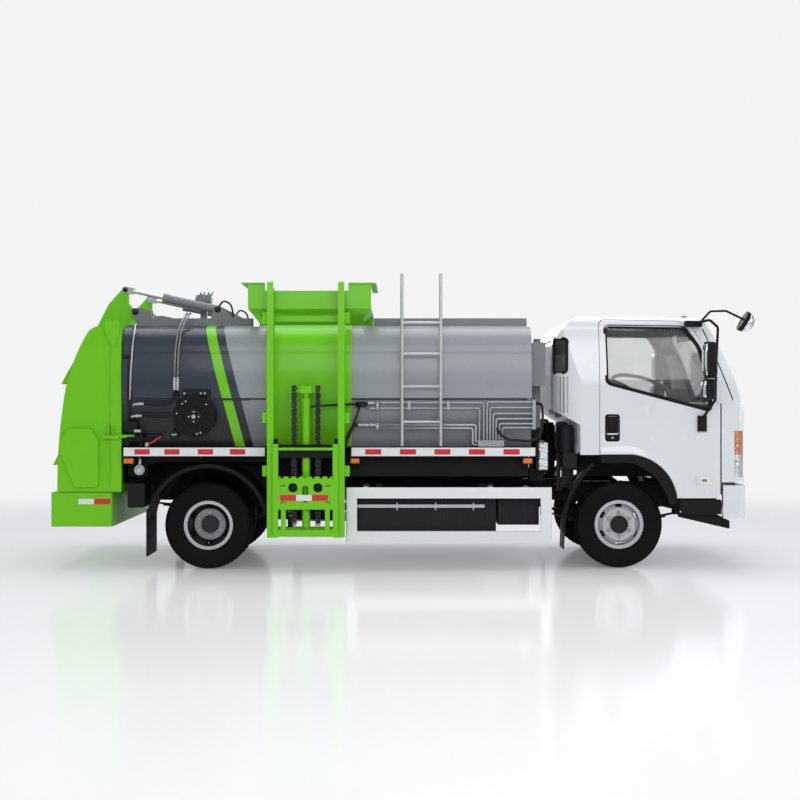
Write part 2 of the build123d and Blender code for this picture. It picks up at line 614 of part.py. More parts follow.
def mudguards():
    """Rear arched fenders with hanging flaps, and the flaps behind the front wheels."""
    outer = FENDER_RADIUS
    inner = FENDER_RADIUS - 10
    y0 = FENDER_IN_Y
    y1 = 1045.0
    ring = rod_y(REAR_AXLE_X, TYRE_RADIUS, y0, y1, outer) - rod_y(REAR_AXLE_X, TYRE_RADIUS, y0 - 5, y1 + 5, inner)
    keep = side_plate(
        [
            (REAR_AXLE_X, TYRE_RADIUS),
            (REAR_AXLE_X - 700, TYRE_RADIUS + 90),
            (REAR_AXLE_X - 700, TYRE_RADIUS + 700),
            (REAR_AXLE_X + 700, TYRE_RADIUS + 700),
            (REAR_AXLE_X + 700, TYRE_RADIUS + 150),
        ],
        y0 - 5,
        y1 + 5,
    )
    arch = ring & keep
    lip = rod_y(REAR_AXLE_X, TYRE_RADIUS, y1 - 12, y1, outer) - rod_y(
        REAR_AXLE_X, TYRE_RADIUS, y1 - 20, y1 + 5, inner - 26
    )
    arch += lip & keep
    flap_x = REAR_AXLE_X - inner + 8
    flap = block(flap_x - 16, flap_x - 4, y0, y1 - 20, 122, TYRE_RADIUS + 150)
    sill_y = RAIL_OUTER_Y - 4 + SEAT_GAP
    arm = block(REAR_AXLE_X - 359, REAR_AXLE_X - 309, sill_y, y0 + 60, RAIL_TOP_Z + 20, RAIL_TOP_Z + 62)
    rail_y = RAIL_OUTER_Y + SEAT_GAP
    stay = block(flap_x - 20, flap_x + 15, rail_y, y0 + 90, TYRE_RADIUS + 210, TYRE_RADIUS + 250)
    sheet = 8.0
    back = FRONT_AXLE_X - FRONT_GUARD_RADIUS
    guard = side_profile(
        [
            ThreePointArc((1776, 956), (1606, 742), (back, 430)),
            Line((back, 430), (back - 12, 178)),
            Line((back - 12, 178), (back - 12 - sheet, 178)),
            Line((back - 12 - sheet, 178), (back - sheet, 430)),
            ThreePointArc((back - sheet, 430), (1600, 748), (1770, 962)),
            Line((1770, 962), (1776, 956)),
        ],
        640,
        932,
    )
    rim_lip = side_profile(
        [
            ThreePointArc((1776, 956), (1606, 742), (back, 430)),
            Line((back, 430), (back - 2, 330)),
            Line((back - 2, 330), (back - 34, 330)),
            Line((back - 34, 330), (back - 32, 430)),
            ThreePointArc((back - 32, 430), (1578, 764), (1752, 982)),
            Line((1752, 982), (1776, 956)),
        ],
        922,
        932,
    )
    front_stay = block(1558, 1600, rail_y, 660, 688, 716)
    return both_sides(arch + flap + arm + stay) + both_sides(guard + rim_lip + front_stay)


# Cab
def cab_outer(inset):
    """The cab's outside form, or the same form moved in by a wall's thickness."""
    k = inset
    front = FRONT_END_X - 12 - k
    side = Polyline(
        (CAB_SIDE_REAR_X - 15 + k, 640 + k),
        (CAB_SIDE_REAR_X - 15 + k, 1330 + k * 0.6),
        (CAB_REAR_X + k, 1470 + k * 0.6),
        (CAB_REAR_X + k, 2010),
    )
    back = ThreePointArc(
        (CAB_REAR_X + k, 2010), (CAB_REAR_X + 112 + k * 0.8, 2256 - k * 0.8), (CAB_REAR_X + 380, CAB_ROOF_Z - k)
    )
    roof = ThreePointArc(
        (CAB_REAR_X + 380, CAB_ROOF_Z - k), (2280, CAB_ROOF_Z + 14 - k), (2720 - k * 0.3, CAB_ROOF_Z - 24 - k)
    )
    brow = ThreePointArc(
        (2720 - k * 0.3, CAB_ROOF_Z - 24 - k), (2786 - k * 0.7, 2316 - k * 0.7), (2818 - k, SCREEN_TOP_Z - k * 0.3)
    )
    screen = ThreePointArc((2818 - k, SCREEN_TOP_Z - k * 0.3), (2992 - k, 1920), (3130 - k, SCREEN_BASE_Z))
    nose = ThreePointArc((3130 - k, SCREEN_BASE_Z), (front - 32, 1240), (front, 860))
    chin = Polyline((front, 860), (front, 640 + k), (CAB_SIDE_REAR_X - 15 + k, 640 + k))
    side_form = side_profile([side, back, roof, brow, screen, nose, chin], -CAB_REACH, CAB_REACH)

    half = CAB_HALF_WIDTH - k
    corner_y = half - 250
    plan = [
        ThreePointArc((front - 74, half - 36), (front - 18, half - 480), (front, 0)),
        ThreePointArc((front, 0), (front - 18, -half + 480), (front - 74, -half + 36)),
        ThreePointArc((front - 74, -half + 36), (front - 98, -half + 10), (front - 140, -half)),
        Line((front - 140, -half), (CAB_SIDE_REAR_X + 10, -half)),
        ThreePointArc(
            (CAB_SIDE_REAR_X + 10, -half), (CAB_REAR_X + 84 + k, -half + 84), (CAB_REAR_X + k, -corner_y + 20)
        ),
        Line((CAB_REAR_X + k, -corner_y + 20), (CAB_REAR_X + k, corner_y - 20)),
        ThreePointArc(
            (CAB_REAR_X + k, corner_y - 20), (CAB_REAR_X + 84 + k, half - 84), (CAB_SIDE_REAR_X + 10, half)
        ),
        Line((CAB_SIDE_REAR_X + 10, half), (front - 140, half)),
        ThreePointArc((front - 140, half), (front - 98, half - 10), (front - 74, half - 36)),
    ]
    plan_form = extrude(Pos(0, 0, 500) * make_face(plan), 2200)

    roof_half = half - 78
    section = [
        Line((-half, 500), (-half, 1500)),
        ThreePointArc((-half, 1500), (-half + 12, 1860), (-roof_half, 2215)),
        ThreePointArc((-roof_half, 2215), (-roof_half + 38, 2306 - k * 0.7), (-roof_half + 150, 2346 - k)),
        ThreePointArc((-roof_half + 150, 2346 - k), (0, CAB_ROOF_Z + 16 - k), (roof_half - 150, 2346 - k)),
        ThreePointArc((roof_half - 150, 2346 - k), (roof_half - 38, 2306 - k * 0.7), (roof_half, 2215)),
        ThreePointArc((roof_half, 2215), (half - 12, 1860), (half, 1500)),
        Line((half, 1500), (half, 500)),
        Line((half, 500), (-half, 500)),
    ]
    section_form = cross_profile(section, 1200, 3400)
    return side_form & plan_form & section_form


def arch_form(grow):
    """The front wheel arch as a form that is cut from the cab, the same all the way across."""
    top = ARCH_TOP_Z + grow
    arc_end = (FRONT_AXLE_X + 525 + grow, DOOR_BOTTOM_Z - 40)
    outline = [
        Line((1200, 400), (1200, top)),
        Line((1200, top), (FRONT_AXLE_X + 100, top)),
        ThreePointArc((FRONT_AXLE_X + 100, top), (FRONT_AXLE_X + 390 + grow, top - 132), arc_end),
        Line(arc_end, (FRONT_AXLE_X + 525 + grow, 400)),
        Line((FRONT_AXLE_X + 525 + grow, 400), (1200, 400)),
    ]
    return side_profile(outline, -CAB_REACH, CAB_REACH)


def under_cab_cut(grow):
    """What is cut from below: the wheel arch, the sill line and the front panel's lower edge."""
    arch = arch_form(grow)
    floor = block(1200, 3400, -CAB_REACH, CAB_REACH, 400, DOOR_BOTTOM_Z + grow)
    nose = block(DOOR_FRONT_X, 3400, -CAB_REACH, CAB_REACH, 400, PANEL_BOTTOM_Z + grow)
    tunnel = block(1200, 3400, -TUNNEL_HALF_WIDTH - grow, TUNNEL_HALF_WIDTH + grow, 400, TUNNEL_TOP_Z + grow)
    return arch + floor + nose + tunnel


def door_outline(grow):
    """The door's outline in X and Z: straight rear edge, raked front edge along the screen pillar."""
    g = grow
    points = [
        (DOOR_REAR_X - g, 600 - g),
        (DOOR_REAR_X - g, DOOR_TOP_Z + g - 6),
        (2560 + g * 0.5, DOOR_TOP_Z + g - 22),
        (2700 + g, 2226 + g * 0.4),
        (2848 + g, 1905),
        (DOOR_FRONT_X - 30 + g, SCREEN_BASE_Z - 14 + g),
        (DOOR_FRONT_X + g, SCREEN_BASE_Z - 14 + g),
        (DOOR_FRONT_X + g, 600 - g),
    ]
    face = make_face(Polyline(*points, close=True))
    rounded = [v for v in face.vertices() if v.Y > 2100]
    return fillet(rounded, 60.0)


def door_window(grow):
    """The door glass outline: level top, raked front and a sill that falls towards the front."""
    g = grow
    points = [
        (1884 - g, 1716 - g),
        (1876 - g, 2246 + g),
        (2610, 2236 + g),
        (2742 + g, 2050),
        (2842 + g, 1640),
        (2842 + g, 1462 - g),
    ]
    return fillet(make_face(Polyline(*points, close=True)).vertices(), 44.0)


def side_prism(face, y0, y1):
    return extrude(Plane((0, y0, 0), x_dir=(1, 0, 0), z_dir=(0, -1, 0)) * face, -(y1 - y0))


def screen_cut(grow):
    """The windscreen opening, seen from the front, kept to the raked front of the cab."""
    g = grow
    points = [
        (-CAB_HALF_WIDTH + 107 - g, SCREEN_BASE_Z + 34 - g),
        (CAB_HALF_WIDTH - 107 + g, SCREEN_BASE_Z + 34 - g),
        (CAB_HALF_WIDTH - 185 + g, SCREEN_TOP_Z - 14 + g),
        (-CAB_HALF_WIDTH + 185 - g, SCREEN_TOP_Z - 14 + g),
    ]
    face = fillet(make_face(Polyline(*points, close=True)).vertices(), 70.0)
    return extrude(Plane((2500, 0, 0), x_dir=(0, 1, 0), z_dir=(1, 0, 0)) * face, 900)


def rear_window_cut(grow):
    g = grow
    return block(1300, 1520, -560 - g, 560 + g, 1800 - g, 2130 + g)


def quarter_window_cut(grow):
    """The small glass in each rear corner, cut square to the corner's slope."""
    g = grow
    pane = Box(300, 210 + 2 * g, 320 + 2 * g)
    pane = fillet(pane.edges().filter_by(Axis.X), 40)
    return Pos(1446, -CAB_HALF_WIDTH + 125, 1972) * Rot(0, 0, 57) * pane


def cab_pieces():
    """The shell, its glass and the front panel, cut from one hollow form."""
    outer = cab_outer(0)
    hollow = outer - under_cab_cut(0) - (cab_outer(CAB_WALL) - under_cab_cut(CAB_WALL))
    door_hole = side_prism(door_outline(0), -CAB_REACH, -DOOR_IN_Y)
    door_hole -= block(1700, 3000, -DOOR_INNER_FACE_Y + DOOR_GAP, 0, 400, SCREEN_BASE_Z - 50)
    hollow = hollow - door_hole - flip(door_hole)

    screen = screen_cut(0)
    glass_skin = cab_outer(10) - cab_outer(16)
    windscreen = glass_skin & screen_cut(-SEAT_GAP)
    rear_glass = glass_skin & rear_window_cut(-SEAT_GAP)
    quarter = glass_skin & quarter_window_cut(-SEAT_GAP)
    windows = windscreen + rear_glass + quarter + flip(quarter)

    shell = hollow - screen - rear_window_cut(0) - quarter_window_cut(0) - flip(quarter_window_cut(0))
    panel_region = block(DOOR_FRONT_X + 8, 3400, -CAB_REACH, CAB_REACH, 500, SCREEN_BASE_Z - 18)
    front_panel = shell & panel_region
    gap_region = block(DOOR_FRONT_X + 4, 3400, -CAB_REACH, CAB_REACH, 500, SCREEN_BASE_Z - 14)
    door_swing = block(DOOR_FRONT_X - 0.5, DOOR_FRONT_X + 5, -CAB_HALF_WIDTH - 5, -PILLAR_IN_Y - 2, 500, SCREEN_BASE_Z - 14)
    shell = shell - gap_region - door_swing - flip(door_swing)
    bulkhead = block(DOOR_FRONT_X - 40, DOOR_FRONT_X + 4, -PILLAR_IN_Y, PILLAR_IN_Y, DOOR_BOTTOM_Z + 2, SCREEN_BASE_Z - 20)
    inside = cab_outer(CAB_WALL - 1)
    shell = shell + ((bulkhead & inside) - under_cab_cut(0))
    # Ties from the shell's front bulkhead to the panel's back, and the tilt pivot's arms.
    mounts = [
        block(DOOR_FRONT_X + 3, FRONT_END_X, y - 30, y + 30, z - 20, z + 20)
        for y in (-600, 0, 600)
        for z in (900, 1440)
    ]
    for tie in mounts:
        shell += tie & cab_outer(CAB_WALL + SEAT_GAP)
    arm = side_plate(
        [
            (DOOR_FRONT_X - 36, TUNNEL_TOP_Z + 80),
            (DOOR_FRONT_X + 4, TUNNEL_TOP_Z + 80),
            (DOOR_FRONT_X + 4, PANEL_BOTTOM_Z - 6),
            (DOOR_FRONT_X + 66, PANEL_BOTTOM_Z - 20),
            (CAB_PIVOT_X + 28, CAB_PIVOT_Z + 10),
            (CAB_PIVOT_X + 10, CAB_PIVOT_Z - 28),
            (CAB_PIVOT_X - 24, CAB_PIVOT_Z - 16),
            (DOOR_FRONT_X - 10, TUNNEL_TOP_Z - 80),
            (DOOR_FRONT_X - 36, TUNNEL_TOP_Z + 10),
        ],
        PIVOT_ARM_Y,
        PIVOT_ARM_Y + PIVOT_ARM_WIDTH,
    )
    arm -= rod_y(CAB_PIVOT_X, CAB_PIVOT_Z, PIVOT_ARM_Y - 20, RAIL_OUTER_Y, PIVOT_PIN_RADIUS + PIN_CLEARANCE)
    shell += both_sides(arm)

    # Hinge pins of the doors, each held by a leaf on the pillar.
    for z in HINGE_HEIGHTS:
        pin = rod_z(HINGE_X, -HINGE_Y, z - 48, z + 48, HINGE_PIN_RADIUS)
        leaf = block(DOOR_FRONT_X - 3, DOOR_FRONT_X + 4, -HINGE_ARM_Y - 9, -PILLAR_IN_Y + 2, z - 48, z + 48)
        for low in (z - 48, z + 30):
            leaf += block(HINGE_X - 7, HINGE_X + 7, -HINGE_Y - 7, -HINGE_ARM_Y + 9, low, low + 18)
            leaf += block(HINGE_X - 7, DOOR_FRONT_X, -HINGE_ARM_Y - 9, -HINGE_ARM_Y + 9, low, low + 18)
        shell += both_sides(pin + leaf)

    # Air louvres pressed in the rear corners.
    skin = outer - cab_outer(LOUVRE_DEPTH)
    for i in range(5):
        across = (i - 2) * 42
        slot = Pos(1466, -CAB_HALF_WIDTH + 107, 1610) * Rot(0, 0, 54) * Pos(0, across, 0) * Box(300, 17, 330)
        shell -= skin & (slot + flip(slot))

    # The grille bars and the recess for the lamps belong to the front panel.
    for i in range(4):
        z = 1000 + i * 62
        front_panel -= block(3050, 3400, -520, 520, z, z + 30)
    lamp = block(2990, 3400, -CAB_HALF_WIDTH - 20, -CAB_HALF_WIDTH + 300, 850, 1275)
    lamp_hole = lamp - block(2990, 3060, -CAB_REACH, -500, 800, 1300)
    front_panel = front_panel - lamp_hole - flip(lamp_hole)
    inset_lamp = block(3060.4, 3400, -CAB_HALF_WIDTH - 20, -CAB_HALF_WIDTH + 299.6, 850.4, 1274.6)
    lamps = (cab_outer(4) - cab_outer(CAB_WALL)) & inset_lamp
    headlamps = lamps + flip(lamps)
    return shell, windows, front_panel, headlamps


def door_right():
    """Hollow-framed door with its window cut and the outside handle."""
    outline = side_prism(door_outline(-DOOR_GAP), -CAB_REACH, -DOOR_IN_Y - DOOR_GAP - 1)
    skin = (cab_outer(0) - cab_outer(DOOR_THICKNESS)) & outline
    skin = skin - under_cab_cut(DOOR_GAP - 2)
    skin = skin - block(1700, 3000, -DOOR_INNER_FACE_Y, -700, 400, SCREEN_BASE_Z - 50)
    skin = skin - side_prism(door_window(0), -CAB_REACH, -700)
    recess = block(1867, 2004, -CAB_HALF_WIDTH - 5, -CAB_HALF_WIDTH + 20, 1177, 1429)
    recess = fillet(recess.edges().filter_by(Axis.Y), 26)
    skin = skin - recess
    grip = block(1880, 1991, -CAB_HALF_WIDTH - 3, -CAB_HALF_WIDTH + 22, 1240, 1410)
    grip = fillet(grip.edges().filter_by(Axis.Y), 20)
    skin += grip
    skin -= block(HINGE_X - 50, DOOR_FRONT_X, -HINGE_Y - 10, -700, SCREEN_BASE_Z - 20, SCREEN_BASE_Z + 90)
    for z in HINGE_HEIGHTS:
        skin -= block(HINGE_X - 16, DOOR_FRONT_X + 10, -HINGE_Y - 11, -700, z - 54, z + 54)
        ear = block(HINGE_X - 18, HINGE_X, -HINGE_Y - 8, -HINGE_Y + 8, z - 25, z + 25)
        ear += rod_z(HINGE_X, -HINGE_Y, z - 25, z + 25, HINGE_PIN_RADIUS + 4)
        ear -= rod_z(HINGE_X, -HINGE_Y, z - 60, z + 60, HINGE_PIN_RADIUS + PIN_CLEARANCE)
        skin += ear
    return skin


def door_glass_right():
    return (cab_outer(22) - cab_outer(28)) & side_prism(door_window(-SEAT_GAP), -CAB_REACH, -700)


def mirror_head(x, y, z, width, height, depth):
    """A rounded mirror case: deep in X, with its glass facing back."""
    case = Box(depth, width, height)
    case = fillet(case.edges().filter_by(Axis.X), min(width, height) * 0.3)
    case = fillet(case.faces().sort_by(Axis.X)[-1].edges(), depth * 0.42)
    return Pos(x, y, z) * case


def mirrors_right(front_view):
    """Main and wide-angle mirrors on a bent tube between two door brackets."""
    post_y = -1165
    head_y = -MIRROR_OUT_Y + 92
    low_mount = block(2718, 2800, -CAB_HALF_WIDTH - 26, -CAB_HALF_WIDTH + 0.0, 1270, 1416)
    high_mount = block(2610, 2760, -CAB_HALF_WIDTH - 14, -900, 2236, 2290)
    post = bent_tube(
        [
            (2700, -CAB_HALF_WIDTH - 4, 2264),
            (2790, post_y + 20, 2290),
            (2862, post_y, 2220),
            (2846, post_y, 1900),
            (2838, post_y, 1560),
            (2770, -CAB_HALF_WIDTH - 12, 1400),
        ],
        12,
        42,
    )
    main = mirror_head(2790, head_y, 1922, 184, 330, 92)
    wide = mirror_head(2780, head_y, 1656, 184, 190, 92)
    arm_main = rod_between((2846, post_y, 1900), (2800, head_y, 1900), 11)
    arm_wide = rod_between((2840, post_y, 1650), (2796, head_y, 1650), 11)
    whole = low_mount + high_mount + post + main + wide + arm_main + arm_wide
    if front_view:
        arm = bent_tube(
            [(2740, -CAB_HALF_WIDTH + 4, 2270), (2830, -1000, 2376), (2960, -1060, 2376), (3112, -1096, 2296)], 10, 40
        )
        bowl = Pos(3112, -1096, 2280) * Rot(0, 30, 0) * Sphere(96)
        bowl = bowl & (Pos(3112, -1096, 2280) * Rot(0, 30, 0) * Pos(34, 0, 0) * Box(96, 220, 220))
        whole += arm + bowl
    return whole


def seats():
    """Driver's seat and a double passenger seat with headrests."""
    # Seat centre in Y and half width.
    places = [(520.0, 250.0), (-330.0, 430.0)]
    made = None
    for y, half in places:
        floor = ARCH_TOP_Z + CAB_WALL + SEAT_GAP
        base = block(1790, 2270, y - half, y + half, floor, 1290)
        base = fillet(base.edges().filter_by(Axis.Y), 50)
        back = side_plate(
            [(1720, 1280), (1850, 1280), (1790, 1880), (1690, 1880)], y - half + 10, y + half - 10, 35
        )
        head = block(1680, 1760, y - 130, y + 130, 1890, 2040)
        head = fillet(head.edges(), 28)
        stalk = block(1705, 1725, y - 60, y + 60, 1870, 1900)
        seat = base + back + head + stalk
        made = seat if made is None else made + seat
    return made


def dashboard():
    """Dash moulding across the cab, with its cowl and the steering wheel on the left."""
    back = DOOR_FRONT_X - 40 - SEAT_GAP
    outline = [(back, 830), (back, 1520), (2700, 1500), (2590, 1400), (2620, 1240), (2720, 1120), (2760, 830)]
    dash = side_plate(outline, -PILLAR_IN_Y, PILLAR_IN_Y, 25)
    cowl = side_plate([(2560, 1400), (2720, 1420), (2720, 1560), (2600, 1520)], 360, 700, 20)
    tilt = Pos(2440, 525, 1470) * Rot(0, -38, 0)
    ring = tilt * Torus(205, 15)
    hub = tilt * Cylinder(50, 30)
    spokes = tilt * (Box(400, 30, 12) + Box(30, 400, 12))
    column = rod_between((2440, 525, 1470), (2700, 525, 1180), 26)
    return dash + cowl + ring + hub + spokes + column


def bumper():
    """Bowed bumper wrapped round both corners, with fog lamp pockets, on two frame brackets."""
    front = FRONT_END_X
    half = CAB_HALF_WIDTH + 4
    back_x = DOOR_FRONT_X + 22

    def plan(inset):
        k = inset
        return [
            ThreePointArc((front - 72 - k, half - 40 - k), (front - 17 - k, half - 500), (front - k, 0)),
            ThreePointArc((front - k, 0), (front - 17 - k, -half + 500), (front - 72 - k, -half + 40 + k)),
            ThreePointArc(
                (front - 72 - k, -half + 40 + k), (front - 96 - k, -half + 12 + k), (front - 140 - k, -half + k)
            ),
            Line((front - 140 - k, -half + k), (back_x - (5 if k else 0), -half + k)),
            Line((back_x - (5 if k else 0), -half + k), (back_x - (5 if k else 0), half - k)),
            Line((back_x - (5 if k else 0), half - k), (front - 140 - k, half - k)),
            ThreePointArc(
                (front - 140 - k, half - k), (front - 96 - k, half - 12 - k), (front - 72 - k, half - 40 - k)
            ),
        ]

    height = BUMPER_TOP_Z - BUMPER_BOTTOM_Z
    outer = extrude(Pos(0, 0, BUMPER_BOTTOM_Z) * make_face(plan(0)), height)
    inner = extrude(Pos(0, 0, BUMPER_BOTTOM_Z - 5) * make_face(plan(BUMPER_DEPTH)), height + 10)
    crop = side_plate(
        [
            (back_x - 20, BUMPER_BOTTOM_Z),
            (back_x - 20, BUMPER_TOP_Z),
            (front - 52, BUMPER_TOP_Z),
            (front - 14, BUMPER_TOP_Z - 26),
            (front + 5, BUMPER_TOP_Z - 90),
            (front + 5, BUMPER_BOTTOM_Z + 60),
            (front - 30, BUMPER_BOTTOM_Z),
        ],
        -CAB_REACH,
        CAB_REACH,
    )
    shape = (outer - inner) & crop
    intake = block(front - 120, front + 20, -430, 430, BUMPER_BOTTOM_Z + 60, BUMPER_BOTTOM_Z + 150)
    shape -= intake
    for side in (-1, 1):
        y = side * 690
        pocket = rod_x(y, BUMPER_BOTTOM_Z + 130, front - 72, front + 20, 62)
        shape -= pocket
    hanger = block(front - BUMPER_DEPTH - 24, front - BUMPER_DEPTH + 4, 560, 620, BUMPER_TOP_Z - 90, PANEL_BOTTOM_Z - SEAT_GAP)
    shape += both_sides(hanger & cab_outer(CAB_WALL + SEAT_GAP))
    skid = side_plate(
        [(2560, 515), (2560, 475), (3020, 368), (3034, 372), (3034, 440), (2900, 508)], -CAB_HALF_WIDTH + 75, -CAB_HALF_WIDTH + 113
    )
    valance = block(3010, 3034, -CAB_HALF_WIDTH + 75, CAB_HALF_WIDTH - 75, 372, 440)
    stay = block(2860, 2900, -CAB_HALF_WIDTH + 79, -RAIL_OUTER_Y - SEAT_GAP, 585, 615)
    stay += block(2860, 2900, -CAB_HALF_WIDTH + 79, -CAB_HALF_WIDTH + 109, 500, 615)
    return shape, both_sides(skid + stay) + valance


def arch_liners():
    """Black liners under the cab's wheel arches, each with a deep lip that shows below the door."""
    sheet = arch_form(-SEAT_GAP) - arch_form(-9)
    lip = arch_form(-SEAT_GAP) - arch_form(-ARCH_LIP)
    out = CAB_HALF_WIDTH - 7
    liner = sheet & block(LINER_REAR_X, FRONT_AXLE_X + 530, 540, out, 600, 1100)
    liner += lip & block(LINER_REAR_X, FRONT_AXLE_X + 530, out - 8, out, 600, 1100)
    return both_sides(liner)


def cab_rear_gear():
    """Air cleaner, pump case and hoses on a post that stands on each rail behind the cab."""
    arm = block(1448, 1498, RAIL_OUTER_Y + SEAT_GAP, 704, 704, 762)
    post = block(1456, 1490, 664, 704, 704, 1180)
    case = block(1490, 1618, 636, 884, 924, 1068)
    case = fillet(case.edges().filter_by(Axis.Y), 16)
    cleaner = rod_z(1532, 764, 1060, 1300, 80) + rod_z(1532, 764, 1294, 1326, 66) + rod_z(1532, 764, 1180, 1196, 86)
    hose = bent_tube([(1532, 764, 1318), (1532, 764, 1344), (1452, 764, 1344), (1440, 764, 1120), (1500, 764, 990)], 16, 18)
    bracket = block(1498, 1600, 690, 740, 762, 930) + block(1480, 1584, 664, 740, 740, 780)
    return both_sides(arm + post + case + cleaner + hose + bracket)


def step_panels():
    """Black sill panels below the doors, behind the bumper's corners."""
    panel = side_plate(
        [(2556, 640), (2942, 640), (2942, 505), (2585, 505)], -CAB_HALF_WIDTH + 6, -CAB_HALF_WIDTH + 60, 8
    )
    tread = block(2600, 2840, -CAB_HALF_WIDTH + 10, -760, 520, 540)
    stay = block(2700, 2760, -790, -RAIL_OUTER_Y - SEAT_GAP, 585, 615)
    stay += block(2700, 2760, -790, -760, 520, 615)
    panel += tread + stay
    return panel + flip(panel)


# Tank
def tank_section(inset):
    """Half-open outline in Y and Z: flat floor, side drawn in below a crease, bulged side, round shoulder."""
    k = inset
    half = TANK_HALF_WIDTH - k
    low = TANK_FLOOR_HALF_WIDTH - k
    step = TANK_CREASE_STEP if k == 0 else 0
    flat = TANK_FLAT_HALF_WIDTH - k * 0.4
    top = TANK_TOP_Z - k
    floor = TANK_FLOOR_Z + k
    edges = []
    for s in (1, -1):
        lines = [
            ((s * low, floor), (s * (half - step - TANK_SIDE_BULGE), TANK_CREASE_Z)),
            ((s * (half - step - TANK_SIDE_BULGE), TANK_CREASE_Z), (s * (half - TANK_SIDE_BULGE), TANK_CREASE_Z)),
        ]
        for a, b in lines:
            if a != b:
                edges.append(Line(a, b))
        middle_z = (TANK_CREASE_Z + TANK_SHOULDER_Z) / 2
        edges.append(
            ThreePointArc(
                (s * (half - TANK_SIDE_BULGE), TANK_CREASE_Z),
                (s * half, middle_z),
                (s * (half - TANK_SIDE_BULGE), TANK_SHOULDER_Z),
            )
        )
        edges.append(
            ThreePointArc(
                (s * (half - TANK_SIDE_BULGE), TANK_SHOULDER_Z),
                (s * (flat + (half - TANK_SIDE_BULGE - flat) * 0.72), top - (top - TANK_SHOULDER_Z) * 0.29),
                (s * flat, top),
            )
        )
    edges.append(ThreePointArc((flat, top), (0, top + TANK_CROWN), (-flat, top)))
    edges.append(Line((-low, floor), (low, floor)))
    return edges


def tank_shell():
    """Hollow load tank, open to the tailgate and under the hopper's neck."""
    outer = cross_profile(tank_section(0), TANK_REAR_X, TANK_FRONT_X)
    inner = cross_profile(tank_section(TANK_WALL), TANK_REAR_X - 10, TANK_FRONT_X - TANK_WALL)
    shell = outer - inner
    collar = cross_profile(tank_section(-10), TANK_REAR_X, TANK_REAR_X + 70)
    collar -= cross_profile(tank_section(4), TANK_REAR_X - 10, TANK_REAR_X + 80)
    collar &= block(TANK_REAR_X - 10, TANK_REAR_X + 90, -1200, 1200, TANK_FLOOR_Z, 2400)
    neck = block(HOPPER_NECK_REAR_X + 10, HOPPER_NECK_FRONT_X - 10, -760, HOPPER_IN_Y - 10, 2000, 2400)
    return shell + collar - neck


def roof_fittings():
    """Walk rails on the roof, tailgate hinge brackets with pins, and the cylinders' feet."""
    base = TANK_TOP_Z + 6
    y0 = ROOF_RAIL_Y - ROOF_RAIL_WIDTH / 2
    y1 = ROOF_RAIL_Y + ROOF_RAIL_WIDTH / 2
    rail = block(TANK_REAR_X + 74, TANK_FRONT_X - 12, y0, y1, base - 6, ROOF_RAIL_TOP_Z)
    cut_out = cross_profile(tank_section(-0.3), TANK_REAR_X - 20, TANK_FRONT_X + 20)
    cheek_gap = HORN_THICKNESS / 2 + 6
    bracket = None
    for side in (-1, 1):
        y = HORN_Y + side * (cheek_gap + 11)
        cheek = side_plate(
            [
                (TAILGATE_HINGE_X + 160, ROOF_RAIL_TOP_Z - 30),
                (TAILGATE_HINGE_X + 150, TAILGATE_HINGE_Z + 14),
                (TAILGATE_HINGE_X + 40, TAILGATE_HINGE_Z + 38),
                (TAILGATE_HINGE_X - 36, TAILGATE_HINGE_Z + 30),
                (TAILGATE_HINGE_X - 34, TAILGATE_HINGE_Z - 40),
                (TAILGATE_HINGE_X + 10, TAILGATE_HINGE_Z - 110),
            ],
            y - 11,
            y + 11,
        )
        bracket = cheek if bracket is None else bracket + cheek
    pin = rod_y(
        TAILGATE_HINGE_X, TAILGATE_HINGE_Z, HORN_Y - cheek_gap - 30, HORN_Y + cheek_gap + 30, 20
    )
    foot = side_plate(
        [
            (CYLINDER_BASE_X - 70, ROOF_RAIL_TOP_Z - 20),
            (CYLINDER_BASE_X - 34, CYLINDER_BASE_Z + 24),
            (CYLINDER_BASE_X + 34, CYLINDER_BASE_Z + 24),
            (CYLINDER_BASE_X + 140, CYLINDER_BASE_Z - 30),
            (CYLINDER_BASE_X + 150, ROOF_RAIL_TOP_Z - 20),
        ],
        HORN_Y - 62,
        HORN_Y - 44,
    )
    foot += side_plate(
        [
            (CYLINDER_BASE_X - 70, ROOF_RAIL_TOP_Z - 20),
            (CYLINDER_BASE_X - 34, CYLINDER_BASE_Z + 24),
            (CYLINDER_BASE_X + 34, CYLINDER_BASE_Z + 24),
            (CYLINDER_BASE_X + 150, ROOF_RAIL_TOP_Z - 20),
        ],
        HORN_Y + 44,
        HORN_Y + 62,
    )
    foot_pin = rod_y(CYLINDER_BASE_X, CYLINDER_BASE_Z, HORN_Y - 66, HORN_Y + 66, 16)
    hopper_gap = block(HOPPER_REAR_X - 12, HOPPER_FRONT_X + 12, -700, -500, TANK_TOP_Z - 50, ROOF_RAIL_TOP_Z + 50)
    fittings = rail + bracket + pin + foot + foot_pin
    return both_sides(fittings) - cut_out - hopper_gap + (roof_valve() - cut_out)


def roof_valve():
    """Valve block for the tailgate cylinders on its pedestal, with its unions and hand levers."""
    x, y, z = VALVE_PLACE
    valve = block(x - 76, x + 76, y - 50, y + 50, z - 38, z + 38)
    valve += block(x - 30, x + 30, y - 30, y + 30, TANK_TOP_Z - 20, z - 37)
    for i in range(4):
        across = -57 + 38 * i
        valve += rod_z(x + across, y - 24, z + 37, z + 66 + 10 * (i % 2), 11)
        valve += rod_z(x + across, y - 24, z + 37, z + 50, 17)
        valve += rod_y(x + across, z, y - 74, y - 49, 14)
        valve += rod_between((x + across, y + 22, z + 36), (x + across + 26, y + 22, z + 96), 6)
    return valve


